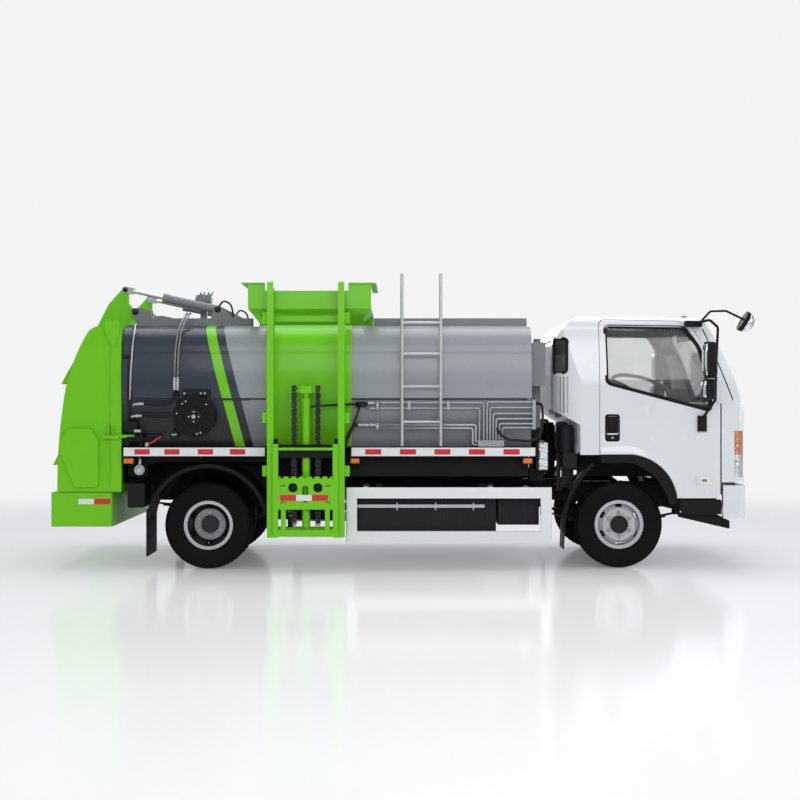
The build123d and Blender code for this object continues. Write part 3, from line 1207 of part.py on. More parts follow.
def tailgate_cylinder(y):
    """Barrel and rod on the line from the foot pin to the horn's eye."""
    base = Vector(CYLINDER_BASE_X, y, CYLINDER_BASE_Z)
    eye = Vector(HORN_EYE_X, y, HORN_EYE_Z)
    along = (eye - base).normalized()
    start = base + along * 30
    end = base + along * CYLINDER_BARREL_LENGTH
    barrel = rod_between(tuple(start), tuple(end), CYLINDER_RADIUS)
    gland = rod_between(tuple(end - along * 40), tuple(end + along * 14), CYLINDER_RADIUS + 5)
    barrel += gland + rod_y(CYLINDER_BASE_X, CYLINDER_BASE_Z, y - 38, y + 38, 38)
    barrel -= rod_y(CYLINDER_BASE_X, CYLINDER_BASE_Z, y - 60, y + 60, 16 + PIN_CLEARANCE)
    bore_end = base + along * (CYLINDER_BARREL_LENGTH + 30)
    bore_start = base + along * 60
    barrel -= rod_between(tuple(bore_start), tuple(bore_end), CYLINDER_ROD_RADIUS + PIN_CLEARANCE)
    rod_start = base + along * (CYLINDER_BARREL_LENGTH - 150)
    fork_gap = HORN_THICKNESS / 2 + 5
    fork_start = eye - along * 76
    rod = rod_between(tuple(rod_start), tuple(fork_start), CYLINDER_ROD_RADIUS)
    turned = Plane(origin=eye, x_dir=along, z_dir=(0, 1, 0))
    bridge = turned * Pos(-64, 0, 0) * Box(28, 60, 2 * fork_gap + 24)
    rod += bridge
    for side in (-1, 1):
        offset = side * (fork_gap + 6)
        rod += turned * Pos(-34, 0, offset) * Box(68, 60, 12)
        rod += turned * Pos(0, 0, offset) * Cylinder(30, 12)
        rod += turned * Pos(0, 0, side * (fork_gap + 15)) * Cylinder(ROD_PIN_RADIUS, 8)
    return barrel, rod


def tailgate_outline(inset):
    """Side outline: straight front, belly that falls to the sump, and a rounded crown."""
    k = inset
    front = TANK_REAR_X - TAILGATE_SEAL_GAP + (30 if k else 0)
    low = TAILGATE_BOTTOM_Z + k
    top = TAILGATE_TOP_Z - k
    return [
        Line((front, low), (-3178 + k, low)),
        ThreePointArc((-3178 + k, low), (-3166 + k, 1130), (-3119 + k, 1560)),
        ThreePointArc((-3119 + k, 1560), (-3040 + k * 0.9, 1880 - k * 0.2), (-2896 + k * 0.8, 2186 - k * 0.5)),
        ThreePointArc((-2896 + k * 0.8, 2186 - k * 0.5), (-2846 + k * 0.5, 2227 - k), (-2784, top)),
        Line((-2784, top), (front, top)),
        Line((front, top), (front, low)),
    ]


def tailgate_shell():
    """Hollow discharge door with a front flange, two lifting horns and its side details."""
    half = TAILGATE_HALF_WIDTH
    outer = side_profile(tailgate_outline(0), -half, half)
    inner = side_profile(tailgate_outline(TAILGATE_WALL), -half + TAILGATE_WALL, half - TAILGATE_WALL)
    shell = outer - inner
    front = TANK_REAR_X - TAILGATE_SEAL_GAP
    flange = block(front - 94, front, -half - 22, half + 22, TAILGATE_BOTTOM_Z, 2205)
    flange -= block(front - 100, front + 5, -half + 44, half - 44, TAILGATE_BOTTOM_Z + 60, 2205 - 44)
    shell = shell + flange

    horn = side_plate(
        [
            (-2926, 2150),
            (-2900, 2262),
            (-2795, 2470),
            (-2672, 2606),
            (-2633, 2640),
            (-2602, 2620),
            (-2602, 2474),
            (-2560, 2434),
            (-2502, 2420),
            (-2498, 2372),
            (-2556, 2352),
            (-2592, 2306),
            (-2592, 2180),
        ],
        HORN_Y - HORN_THICKNESS / 2,
        HORN_Y + HORN_THICKNESS / 2,
    )
    horn -= rod_y(TAILGATE_HINGE_X, TAILGATE_HINGE_Z, HORN_Y - 60, HORN_Y + 60, 20 + PIN_CLEARANCE)
    horn -= rod_y(HORN_EYE_X, HORN_EYE_Z, HORN_Y - 60, HORN_Y + 60, ROD_PIN_RADIUS + PIN_CLEARANCE)
    shell += horn + flip(horn)

    # The pressed cover low on each side, over the sealing lock.
    cover = side_plate(
        [(-3010, 762), (-2796, 762), (-2796, 1190), (-2860, 1293), (-3060, 1293), (-3152, 1190), (-3157, 1100)],
        -half - 34,
        -half + 5,
        30,
    )
    lock = block(-2745, -2600, -half - 52, -half - 10, 1206, 1236)
    for x in (-2700, -2650):
        lock += side_plate([(x, 1230), (x + 10, 1230), (x + 10, 1330), (x, 1330)], -half - 40, -half + 5)
    gusset = side_plate(
        [(-2742, 2222), (-2728, 2290), (-2604, 2294), (-2596, 2226), (-2634, 2040), (-2674, 2062)],
        -half - 36,
        -half - 21,
    )
    shell += both_sides(cover + lock + gusset)

    # Rear visor and the lower lamp hood.
    visor = side_plate([(-2996, 2000), (-3004, 2012), (-3172, 1712), (-3158, 1706)], -half + 120, half - 120)
    cheek = side_plate([(-2986, 1990), (-3160, 1708), (-3060, 1708)], -half + 120, -half + 132)
    hood = side_plate([(-3150, 1100), (-3156, 1110), (-3233, 962), (-3222, 956)], -half + 60, half - 60)
    hood_cheek = side_plate([(-3150, 1095), (-3226, 960), (-3150, 960)], -half + 60, -half + 72)
    return shell + visor + cheek + flip(cheek) + hood + hood_cheek + flip(hood_cheek)


def tailgate_sump():
    """Closed leachate box under the tailgate, rounded at its front corners."""
    half = TAILGATE_HALF_WIDTH - 4
    sump = flat_plate(
        [(REAR_END_X, -half), (REAR_END_X, half), (SUMP_FRONT_X, half), (SUMP_FRONT_X, -half)],
        SUMP_BOTTOM_Z,
        SUMP_TOP_Z,
        26,
    )
    post = block(-3000, -2760, -half + 60, -half + 160, SUMP_TOP_Z, TAILGATE_BOTTOM_Z)
    step = block(REAR_END_X + 60, SUMP_FRONT_X - 60, -half + 250, half - 250, SUMP_TOP_Z, TAILGATE_BOTTOM_Z)
    recess = block(REAR_END_X - 5, REAR_END_X + 14, -half + 60, -half + 420, SUMP_BOTTOM_Z + 90, SUMP_BOTTOM_Z + 200)
    return sump + post + flip(post) + step - recess - flip(recess)


def tail_lamps():
    half = TAILGATE_HALF_WIDTH - 4
    low = SUMP_BOTTOM_Z + 94
    lamp = block(REAR_END_X + 2, REAR_END_X + 14, -half + 64, -half + 416, low, low + 102)
    lamp = fillet(lamp.edges().filter_by(Axis.X), 14)
    return lamp + flip(lamp)


# Hopper and bin lift
def hopper():
    """Open loading hopper: flanged rim, upright walls, sloped neck into the tank."""
    y0, y1 = HOPPER_OUT_Y, HOPPER_IN_Y
    neck_y0 = -770

    def form(k):
        upright = block(
            HOPPER_REAR_X + k, HOPPER_FRONT_X - k, y0 + k, y1 - k, HOPPER_BEND_Z - 0.5, HOPPER_TOP_Z + (20 if k else 0)
        )
        top = Plane((0, 0, HOPPER_BEND_Z))
        low = Plane((0, 0, HOPPER_NECK_Z - (20 if k else 0)))
        wide = Pos((HOPPER_REAR_X + HOPPER_FRONT_X) / 2, (y0 + y1) / 2) * Rectangle(
            HOPPER_FRONT_X - HOPPER_REAR_X - 2 * k, y1 - y0 - 2 * k
        )
        narrow = Pos((HOPPER_NECK_REAR_X + HOPPER_NECK_FRONT_X) / 2, (neck_y0 + y1) / 2) * Rectangle(
            HOPPER_NECK_FRONT_X - HOPPER_NECK_REAR_X - 2 * k, y1 - neck_y0 - 2 * k
        )
        return upright + loft([top * wide, low * narrow], ruled=True)

    body = form(0) - form(HOPPER_WALL)
    flange = block(
        HOPPER_REAR_X - 58, HOPPER_FRONT_X + 48, y0 - 26, y1 + 40, HOPPER_TOP_Z - 10, HOPPER_TOP_Z
    ) - block(HOPPER_REAR_X + 8, HOPPER_FRONT_X - 8, y0 + 8, y1 - 8, HOPPER_TOP_Z - 20, HOPPER_TOP_Z + 5)
    lip_z = HOPPER_TOP_Z - 72
    bay = LIFT_HALF_WIDTH + 30
    body = body + flange
    body -= block(LIFT_X - bay, LIFT_X + bay, y0 - 40, y0 + 12, lip_z, HOPPER_TOP_Z + 10)
    tank = cross_profile(tank_section(-0.3), TANK_REAR_X - 20, TANK_FRONT_X + 20)
    shield_back = block(
        HOPPER_REAR_X, HOPPER_FRONT_X, y1 - HOPPER_WALL, y1, TANK_TOP_Z, HOPPER_BEND_Z
    )
    saddle = None
    for x in (HOPPER_REAR_X + 100, HOPPER_FRONT_X - 140):
        rib = block(x, x + 12, -560, y1 - 2, TANK_TOP_Z - 20, HOPPER_BEND_Z + 20)
        rib -= form(2)
        saddle = rib if saddle is None else saddle + rib
    whole = body + (shield_back - tank)
    whole += saddle - tank
    return whole - tank


def lift_mast():
    """Two channel posts bracketed to the tank, joined at the foot, with the green side skin."""
    def post(side):
        x_out = LIFT_X + side * LIFT_HALF_WIDTH
        x_in = x_out - side * MAST_POST_WIDTH
        x0, x1 = min(x_out, x_in), max(x_out, x_in)
        solid = block(x0, x1, MAST_OUT_Y, MAST_IN_Y, MAST_BOTTOM_Z, MAST_TOP_Z)
        solid = fillet(solid.edges().filter_by(Axis.X).sort_by(Axis.Z)[-2:], 48)
        cut_out = x_out - side * MAST_WALL
        cut_in = x_in - side * 5
        c0, c1 = min(cut_out, cut_in), max(cut_out, cut_in)
        solid -= block(
            c0, c1, MAST_OUT_Y + MAST_WALL, MAST_IN_Y - MAST_WALL, MAST_BOTTOM_Z - 5, MAST_TOP_Z - 60
        )
        return solid

    mast = post(-1) + post(1)
    # Bracket heights: low and high Z of each clamp pair.
    clamps = [(871.0, 965.0), (1353.0, 1446.0), (2254.0, 2350.0)]
    for low, high in clamps:
        for side in (-1, 1):
            x_in = LIFT_X + side * (LIFT_HALF_WIDTH - 4)
            x_out = LIFT_X + side * (LIFT_HALF_WIDTH + 44)
            x0, x1 = min(x_in, x_out), max(x_in, x_out)
            mast += block(x0, x1, MAST_OUT_Y + 24, MAST_IN_Y, low, high)
            reach = -SIDE_RAIL_OUT_Y + 60 if high < 1000 else -880
            mast += block(x0, x1, MAST_IN_Y - 4, reach, low + 20, high - 20)
    foot = block(
        LIFT_X - LIFT_HALF_WIDTH + 2, LIFT_X + LIFT_HALF_WIDTH - 2, MAST_IN_Y - 8, MAST_IN_Y + 60, 319, 405
    )
    sill = block(LIFT_X - 180, LIFT_X + 180, -1172, MAST_IN_Y, 319, 340)
    stay = block(LIFT_X - 300, LIFT_X - 240, MAST_IN_Y + 50, -RAIL_OUTER_Y, 330, 390)
    stay = stay & block(-3000, 3000, -1200, -990, 0, 1000)
    mast += foot + sill + stay
    skin = cross_profile(tank_section(-9), LIFT_X - 382, LIFT_X + 404)
    skin &= block(-3000, 3000, -1200, -700, TANK_FLOOR_Z + 2, 2300)
    mast += skin
    reach = LIFT_HALF_WIDTH + 44
    mast += block(LIFT_X - reach, LIFT_X + reach, -1122, -1098, 2276, 2328)
    return mast - cross_profile(tank_section(-0.3), TANK_REAR_X - 20, TANK_FRONT_X + 20)


def lift_cylinder():
    """Upright hydraulic barrel between the chains, standing on the mast's foot."""
    y = -1190
    barrel = rod_z(LIFT_X, y, 340.3, 1560, 37)
    barrel += rod_z(LIFT_X, y, 1530, 1572, 42)
    barrel -= rod_z(LIFT_X, y, 420, 1600, 24 + PIN_CLEARANCE)
    return barrel


def sheave_head():
    """Rod, cross head and two chain sheaves that rise together."""
    y = -1190
    head = rod_z(LIFT_X, y, 460, 1626, 24)
    axle_z = SHEAVE_TOP_Z - SHEAVE_RADIUS
    head += block(LIFT_X - 51, LIFT_X + 51, y - 30, y + 30, 1620, 1686)
    head += rod_x(y, axle_z, LIFT_X - CHAIN_X - 24, LIFT_X + CHAIN_X + 24, 14)
    for side in (-1, 1):
        x = LIFT_X + side * CHAIN_X
        wheel = rod_x(y, axle_z, x - 17, x + 17, SHEAVE_RADIUS - 12)
        head += wheel
    return head


def hoist_chains():
    """Two roller chains hung over the sheaves: link plates and rollers at one pitch."""
    y = -1190
    axle_z = SHEAVE_TOP_Z - SHEAVE_RADIUS
    radius = SHEAVE_RADIUS - 12 + 9
    low = 430.0
    chains = None
    for side in (-1, 1):
        x = LIFT_X + side * CHAIN_X
        half = CHAIN_WIDTH / 2

        def strip(x0, x1, width):
            band = rod_x(y, axle_z, x0, x1, radius + width) - rod_x(y, axle_z, x0 - 5, x1 + 5, radius - width)
            band &= block(-3000, 3000, -1400, -1000, axle_z, axle_z + 200)
            for leg in (-1, 1):
                band += block(x0, x1, y + leg * radius - width, y + leg * radius + width, low, axle_z + 0.01)
            return band

        chain = strip(x - half, x - half + 6, 8.5) + strip(x + half - 6, x + half, 8.5)
        count = int((axle_z - low) // CHAIN_PITCH)
        for leg in (-1, 1):
            for i in range(count + 1):
                z = low + 6 + i * CHAIN_PITCH
                chain += block(x - half + 4, x + half - 4, y + leg * radius - 6, y + leg * radius + 6, z - 6, z + 6)
        chains = chain if chains is None else chains + chain
    return chains


def lift_carriage():
    """Two roller shoes in the posts, the plate that joins them and the pivot shaft in front."""
    y0 = MAST_OUT_Y + MAST_WALL + PIN_CLEARANCE
    y1 = MAST_IN_Y - MAST_WALL - PIN_CLEARANCE
    inner = LIFT_HALF_WIDTH - MAST_WALL - PIN_CLEARANCE
    shoe_in = LIFT_HALF_WIDTH - MAST_POST_WIDTH - 32
    plate = block(LIFT_X - shoe_in - 10, LIFT_X + shoe_in + 10, -1257, -1250.5, TIP_AXIS_Z - 110, TIP_AXIS_Z + 9)
    carriage = plate
    for side in (-1, 1):
        x_out = LIFT_X + side * inner
        x_in = LIFT_X + side * shoe_in
        x0, x1 = min(x_out, x_in), max(x_out, x_in)
        carriage += block(x0, x1, y0, y1, TIP_AXIS_Z - 110, TIP_AXIS_Z + 60)
        n0, n1 = min(x_in, x_in + side * 24), max(x_in, x_in + side * 24)
        carriage += block(n0, n1, -1254, y0 + 2, TIP_AXIS_Z - 108, TIP_AXIS_Z + 58)
        a0 = LIFT_X + side * 230
        carriage += block(a0 - 8, a0 + 8, TIP_AXIS_Y, -1252, TIP_AXIS_Z - 9, TIP_AXIS_Z + 9)
    carriage += rod_x(TIP_AXIS_Y, TIP_AXIS_Z, LIFT_X - 296, LIFT_X + 296, PIVOT_RADIUS)
    return carriage


def tipping_frame():
    """Bin frame: sleeved uprights, top bar, pick-up plate with D-shaped holes and a lower rest."""
    y0 = FRAME_OUT_Y
    y1 = FRAME_IN_Y
    half = 294.0
    upright = 49.0
    low = 322.0
    bar_top = TIP_AXIS_Z - 18
    frame = block(LIFT_X - half + 2, LIFT_X + half - 2, y0, y1, bar_top - 24, bar_top)
    for side in (-1, 1):
        x_out = LIFT_X + side * half
        x_in = LIFT_X + side * (half - upright)
        x0, x1 = min(x_out, x_in), max(x_out, x_in)
        frame += block(x0, x1, y0, y1, low, bar_top + 8)
        frame += rod_x(TIP_AXIS_Y, TIP_AXIS_Z, x0, x1, SLEEVE_RADIUS)
        frame -= block(x0 + 9, x1 - 9, y0 + 5, y1 + 5, low - 5, bar_top - 30)
    # The pick-up plate with its holes: centre X from the lift's middle, half width, low and high Z.
    plate = block(LIFT_X - 250, LIFT_X + 250, y0, y0 + 8, 598, 848)
    holes = [(-112.0, 40.0, 731.0, 812.0), (112.0, 40.0, 731.0, 812.0), (0.0, 27.0, 640.0, 790.0)]
    for x, half_width, z0, z1 in holes:
        cut = block(LIFT_X + x - half_width, LIFT_X + x + half_width, y0 - 5, y0 + 20, z0, z1)
        plate -= fillet(cut.edges().filter_by(Axis.Y), half_width * 0.85)
    for x in (-215, -190, 190, 215):
        for z in (640, 790):
            plate -= block(LIFT_X + x - 7, LIFT_X + x + 7, y0 - 5, y0 + 20, z - 7, z + 7)
    frame += plate
    hooks = block(LIFT_X - 240, LIFT_X + 240, y0, y0 + 20, 848, 872)
    for i in range(7):
        x = LIFT_X - 210 + i * 70
        hooks -= block(x - 13, x + 13, y0 - 5, y0 + 30, 856, 880)
    frame += hooks
    frame += block(LIFT_X - 246, LIFT_X + 246, y0, y0 + 20, 575, 600)
    for side in (-1, 1):
        x = LIFT_X + side * 198
        frame += block(x - 22, x + 22, y0, y1, 380, 580)
    frame += block(LIFT_X - 246, LIFT_X + 246, y0, y1, 330, 392)
    frame -= rod_x(TIP_AXIS_Y, TIP_AXIS_Z, LIFT_X - half - 20, LIFT_X + half + 20, PIVOT_RADIUS + PIN_CLEARANCE)
    return frame


# Side and roof equipment
def ladder():
    """Aluminium ladder on the right side, held off the tank on brackets and standing over the roof."""
    x0, x1 = -6.0, 348.0
    y = -1086.0
    made = rod_z(x0, y, 1140, 2715, 15) + rod_z(x1, y, 1140, 2715, 15)
    rungs = [1361.0, 1684.0, 1982.0, 2267.0]
    for z in rungs:
        made += rod_x(y, z, x0, x1, 13)
    for z in (1420.0, 1930.0):
        for x in (x0, x1):
            made += block(x - 10, x + 10, y, -960, z - 16, z + 16)
    for x in (x0, x1):
        made += block(x - 9, x + 9, y, -ROOF_RAIL_Y - ROOF_RAIL_WIDTH / 2 - SEAT_GAP, 2300, 2324)
    return made - cross_profile(tank_section(-0.3), TANK_REAR_X - 20, TANK_FRONT_X + 20)


def hose_reel():
    """Water hose on a flat reel bolted to the lower side panel, with its valve lever beside it."""
    x, z = -1912.0, 1407.0
    back, front = -1000.0, -1064.0
    radius = 192.0
    made = rod_y(x, z, front, front + 6, radius) + rod_y(x, z, back - 6, back, radius)
    made += rod_y(x, z, front - 10, back, 46)
    coil = rod_y(x, z, front + 6, back - 6, 158)
    made += coil
    for i in range(6):
        window = Pos(x, front + 3, z) * Rot(0, i * 60, 0) * Pos(112, 0, 0) * Box(70, 10, 64)
        made -= window
    made += rod_y(x, z, back, -900, 60)
    lever = block(-2390, -2235, -1050, -1036, 1196, 1212)
    valve = block(-2420, -2380, -1050, -880, 1176, 1236)
    rest = block(-2410, -2390, -1044, -1030, TANK_FLOOR_Z - 4 + SEAT_GAP, 1180)
    outlet = block(-2560 + 30, -2400, -1046, -1006, 1190, 1222)
    made += lever + valve + rest + outlet
    return made - cross_profile(tank_section(-0.3), TANK_REAR_X - 20, TANK_FRONT_X + 20)


def hydraulic_pipes():
    """Steel lines along the tank's lower panel, all ending in one valve block."""
    y = -1014.0
    radius = 9.0
    block_top = 1189.0
    made = block(692, 929, -1056, -1004, 1134, block_top) + block(700, 920, -1010, -900, 1140, 1180)
    for i in range(6):
        made += rod_y(712 + i * 39.5, 1160, -1068, -1050, 11)
    # The long lines: height along the tank and X of the drop into the block.
    long_lines = [(1536.0, 745.0), (1485.0, 706.0)]
    for z, x_drop in long_lines:
        made += bent_tube([(-224, -930, z), (-224, y, z), (x_drop, y, z), (x_drop, y, block_top - 4)], radius, 24)
    # The nested risers: X above the block and height of the forward run.
    first_x = 775.0
    x_step = 28.0
    heights = [1542.0, 1491.0, 1436.0, 1388.0, 1342.0, 1306.0]
    for i in range(len(heights)):
        x = first_x + i * x_step
        made += bent_tube([(x, y, block_top - 4), (x, y, heights[i]), (1206, y, heights[i])], radius, 24)
    made += block(1192, 1222, -1034, -940, 1290, 1560)
    for x in (60.0, 420.0):
        made += block(x - 14, x + 14, -1026, -930, 1470, 1552)
    return made - cross_profile(tank_section(-0.3), TANK_REAR_X - 20, TANK_FRONT_X + 20)


def service_boxes():
    """Oil tank and covered cooler ahead of the load tank, and the tool box behind the rear wheel."""
    oil = block(1196, 1322, -955, -430, 1690, 2094)
    oil = fillet(oil.edges().filter_by(Axis.Y), 18)
    neck = rod_z(1259, -800, 2090, 2130, 34)
    feet = block(1196, 1300, -700, -640, 800.3, 1700)
    cooler = block(1236, 1350, -955, -560, 905, 1175)
    cooler = fillet(cooler.edges().filter_by(Axis.Y), 24)
    bridge = block(1210, 1330, -700, -RAIL_OUTER_Y + 10, 800.3, 912)
    tool = block(-2530, -2372, -1010, -720, 570, 790)
    tool = fillet(tool.edges().filter_by(Axis.Y), 16)
    stay = block(-2525, -2445, -725, -RAIL_OUTER_Y - SEAT_GAP, 690, 740)
    return oil + neck + feet + cooler + bridge + tool + stay


def main():
    os.makedirs("parts", exist_ok=True)

    save("chassis_frame", chassis_frame())
    save("body_subframe", body_subframe())
    save("front_axle_beam", front_axle())
    save("leaf_springs", front_springs() + rear_springs())
    save("rear_axle_housing", rear_axle())
    save("drive_unit", drive_unit())
    save("battery_pack", battery_pack())
    save("side_guards", side_guards())
    save("mudguards", mudguards() + step_panels())

    shape, skid = bumper()
    save("bumper", shape)
    save("bumper_skid", skid)

    save("tank_shell", tank_shell())
    save("roof_fittings", roof_fittings())
    save("ladder", ladder())
    save("hose_reel", hose_reel())
    save("hydraulic_pipes", hydraulic_pipes())
    save("service_boxes", service_boxes())
    save("cab_rear_gear", cab_rear_gear())
    save("hopper", hopper())
    save("lift_mast", lift_mast() + lift_cylinder())
    save("sheave_head", sheave_head())
    save("hoist_chains", hoist_chains())
    save("lift_carriage", lift_carriage())
    save("tipping_frame", tipping_frame())

    shell, windows, front_panel, headlamps = cab_pieces()
    save("cab_shell", shell)
    save("cab_glass", windows)
    save("front_panel", front_panel)
    save("headlamps", headlamps)
    save("seats", seats())
    save("arch_liners", arch_liners())
    save("dashboard", dashboard())
    door = door_right()
    glass = door_glass_right()
    save("door_right", door)
    save("door_left", flip(door))
    save("door_glass_right", glass)
    save("door_glass_left", flip(glass))
    save("mirrors_right", mirrors_right(True))
    save("mirrors_left", flip(mirrors_right(False)))

    save("tailgate_shell", tailgate_shell())
    save("tailgate_sump", tailgate_sump())
    save("tail_lamps", tail_lamps())
    barrel, rod = tailgate_cylinder(-HORN_Y)
    save("tail_cylinder_barrels", barrel + flip(barrel))
    save("tail_cylinder_rods", rod + flip(rod))

    knuckle = knuckle_left()
    save("knuckle_left", knuckle)
    save("knuckle_right", flip(knuckle))
    front_tyre = tyre(FRONT_TYRE_Y, FRONT_AXLE_X)
    save("front_tyre_left", front_tyre)
    save("front_tyre_right", flip(front_tyre))
    front_rim = front_wheel_left()
    save("front_rim_left", front_rim)
    save("front_rim_right", flip(front_rim))
    rear_tyres = rear_tyres_left()
    save("rear_tyres_left", rear_tyres)
    save("rear_tyres_right", flip(rear_tyres))
    rear_rims = rear_wheels_left()
    save("rear_rims_left", rear_rims)
    save("rear_rims_right", flip(rear_rims))


main()
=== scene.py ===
# %% [markdown]
# # Dressing a food-waste truck
#
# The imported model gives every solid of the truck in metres: X forwards, Y to the
# truck's left, Z up, with the origin on the ground under its middle. This file keeps
# those solids where they are and adds what makes them look like the real machine:
# paint, rubber, glass, reflective tape, tyre tread, seals, bolts and hoses.
# Each new piece is a surface worked out with numpy, so the same few helpers can make
# a tyre, a tape strip or a bent pipe.

import math

import bpy
import numpy as np
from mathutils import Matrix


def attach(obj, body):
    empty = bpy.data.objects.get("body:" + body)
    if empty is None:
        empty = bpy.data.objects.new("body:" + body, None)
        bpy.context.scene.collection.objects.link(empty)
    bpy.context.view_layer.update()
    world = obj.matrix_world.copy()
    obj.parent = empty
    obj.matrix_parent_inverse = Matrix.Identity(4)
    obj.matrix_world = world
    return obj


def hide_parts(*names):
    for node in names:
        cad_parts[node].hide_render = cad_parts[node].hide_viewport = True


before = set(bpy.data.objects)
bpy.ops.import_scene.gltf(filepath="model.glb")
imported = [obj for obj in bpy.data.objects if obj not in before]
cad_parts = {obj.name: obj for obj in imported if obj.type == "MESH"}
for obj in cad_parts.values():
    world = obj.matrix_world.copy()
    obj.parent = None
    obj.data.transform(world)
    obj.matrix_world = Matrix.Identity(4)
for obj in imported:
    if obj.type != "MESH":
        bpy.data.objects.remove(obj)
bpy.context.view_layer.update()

# %% [markdown]
# ## Turning arrays into pieces
#
# A shape is a pair of arrays: points, and faces that index them. `lay_piece` writes a
# shape, or a list of shapes joined, into a mesh, and names the body it rides on. Every
# piece stays at the origin with its place in its points, as the solids do, so a pattern on
# Object coordinates is in truck metres.


# %% Write points and faces into a mesh
def gather(shapes):
    """Joins shapes: each one's face numbers are raised by the points laid before it."""
    points, faces, count = [], {}, 0
    for part_points, part_faces in shapes:
        for group in part_faces if isinstance(part_faces, list) else [part_faces]:
            faces.setdefault(group.shape[1], []).append(group + count)
        points.append(part_points)
        count += len(part_points)
    return np.concatenate(points), [np.concatenate(group) for group in faces.values()]


def lay_piece(name, shape, finish, body="root", smooth=True):
    """A mesh object from a shape or a list of shapes."""
    points, faces = gather(shape) if isinstance(shape, list) else shape
    blocks = faces if isinstance(faces, list) else [faces]
    loops = np.concatenate([b.ravel() for b in blocks]).astype(np.int32)
    sizes = np.concatenate([np.full(len(b), b.shape[1]) for b in blocks])
    mesh = bpy.data.meshes.new(name)
    mesh.vertices.add(len(points))
    mesh.vertices.foreach_set("co", points.ravel())
    mesh.loops.add(len(loops))
    mesh.loops.foreach_set("vertex_index", loops)
    mesh.polygons.add(len(sizes))
    mesh.polygons.foreach_set("loop_start", (np.cumsum(sizes) - sizes).astype(np.int32))
    mesh.polygons.foreach_set("use_smooth", np.full(len(sizes), smooth))
    mesh.update(calc_edges=True)
    mesh.validate()
    mesh.materials.append(finish)
    piece = bpy.data.objects.new(name, mesh)
    bpy.context.scene.collection.objects.link(piece)
    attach(piece, body)
    return piece


def soften(piece, width, segments=2):
    """Rounds a piece's sharp edges by width, as pressed or moulded edges are."""
    bevel = piece.modifiers.new("rounded edges", "BEVEL")
    bevel.width, bevel.segments = width, segments
    bevel.limit_method, bevel.angle_limit = "ANGLE", math.radians(35)
    bevel.harden_normals = False
    return piece


print("the piece helpers are ready")

# %% [markdown]
# ## Shapes from arrays
#
# A few recipes cover nearly everything bolted to a truck. A *block* is eight corners.
# A *plate* is an outline given a thickness. A *sweep* carries a round section along a
# path. A *turned* piece is a profile spun about an axis, as on a lathe. A *cushion* is a
# pad that is flat in the middle and rolls off at its edge, like a lamp's lens. Their
# points come in rings or in a grid, so two helpers number the faces of them all.


# %% Blocks, plates and mirrored shapes
def block(low, high):
    """Eight corners of a box between two opposite corners, faces turned outwards."""
    (x0, y0, z0), (x1, y1, z1) = low, high
    points = [(x, y, z) for z in (z0, z1) for x, y in ((x0, y0), (x1, y0), (x1, y1), (x0, y1))]
    faces = [[0, 3, 2, 1], [4, 5, 6, 7], [0, 1, 5, 4], [1, 2, 6, 5], [2, 3, 7, 6], [3, 0, 4, 7]]
    return np.array(points, float), np.array(faces)


def plate(outline, plane, low, high):
    """An outline (n, 2) given thickness. plane "xz" stands it facing Y and "yz" facing X;
    low and high are its two faces on the third axis."""
    u, v = np.asarray(outline, float).T
    n = len(u)
    area = np.sum(u * np.roll(v, -1) - np.roll(u, -1) * v)
    points = np.zeros((2 * n, 3))
    spread_out = [np.tile(u, 2), np.tile(v, 2), np.repeat([low, high], n)]
    points[:, {"xz": (0, 2, 1), "yz": (1, 2, 0)}[plane]] = np.stack(spread_out, 1)
    i = np.arange(n)[:: 1 if (area > 0) == (plane == "yz") else -1]
    j = np.roll(i, -1)
    return points, [np.stack([i, j, j + n, i + n], -1), i[::-1][None], (i + n)[None]]


def mirrored(shape):
    """The same shape on the other side of the truck: Y turned round, and each face too."""
    points, faces = shape
    return points * (1, -1, 1), [f[:, ::-1] for f in (faces if isinstance(faces, list) else [faces])]


def facing(shape):
    """Turns a closed shape's faces round where its signed volume is negative: the sum over
    triangles of a . (b x c) / 6 is positive when they face outwards."""
    points, faces = shape
    volume = 0.0
    for f in faces:
        for k in range(1, f.shape[1] - 1):
            volume += np.sum(points[f[:, 0]] * np.cross(points[f[:, k]], points[f[:, k + 1]]))
    return points, faces if volume > 0 else [f[:, ::-1] for f in faces]


# %% Rings of points: sweeps and turnings
def angles(sides):
    """That many equal steps round a circle, in radians, from 0."""
    return np.arange(sides) * 2 * math.pi / sides


def ring_faces(rings, sides):
    """Quad (i, j) joins points j and j + 1 of ring i to the same two of ring i + 1. The
    first and the last ring are closed flat."""
    first = np.arange(sides)
    i, after = np.arange(rings - 1)[:, None] * sides, np.roll(first, -1)
    quads = np.stack([i + first, i + after, i + sides + after, i + sides + first], -1)
    return [quads.reshape(-1, 4), first[::-1][None], ((rings - 1) * sides + first)[None]]


def frames_along(path):
    """At each path point, two unit directions square to the path, turned as little as
    possible from one point to the next, so that a swept section doesn't twist."""
    tangent = np.gradient(path, axis=0)
    tangent /= np.linalg.norm(tangent, axis=1, keepdims=True)
    start = np.cross(tangent[0], (0.0, 0.0, 1.0))
    if np.linalg.norm(start) < 0.1:
        start = np.cross(tangent[0], (0.0, 1.0, 0.0))
    side = [start / np.linalg.norm(start)]
    for along in tangent[1:]:
        level = side[-1] - along * np.dot(side[-1], along)
        side.append(level / np.linalg.norm(level))
    return np.array(side), np.cross(tangent, side)


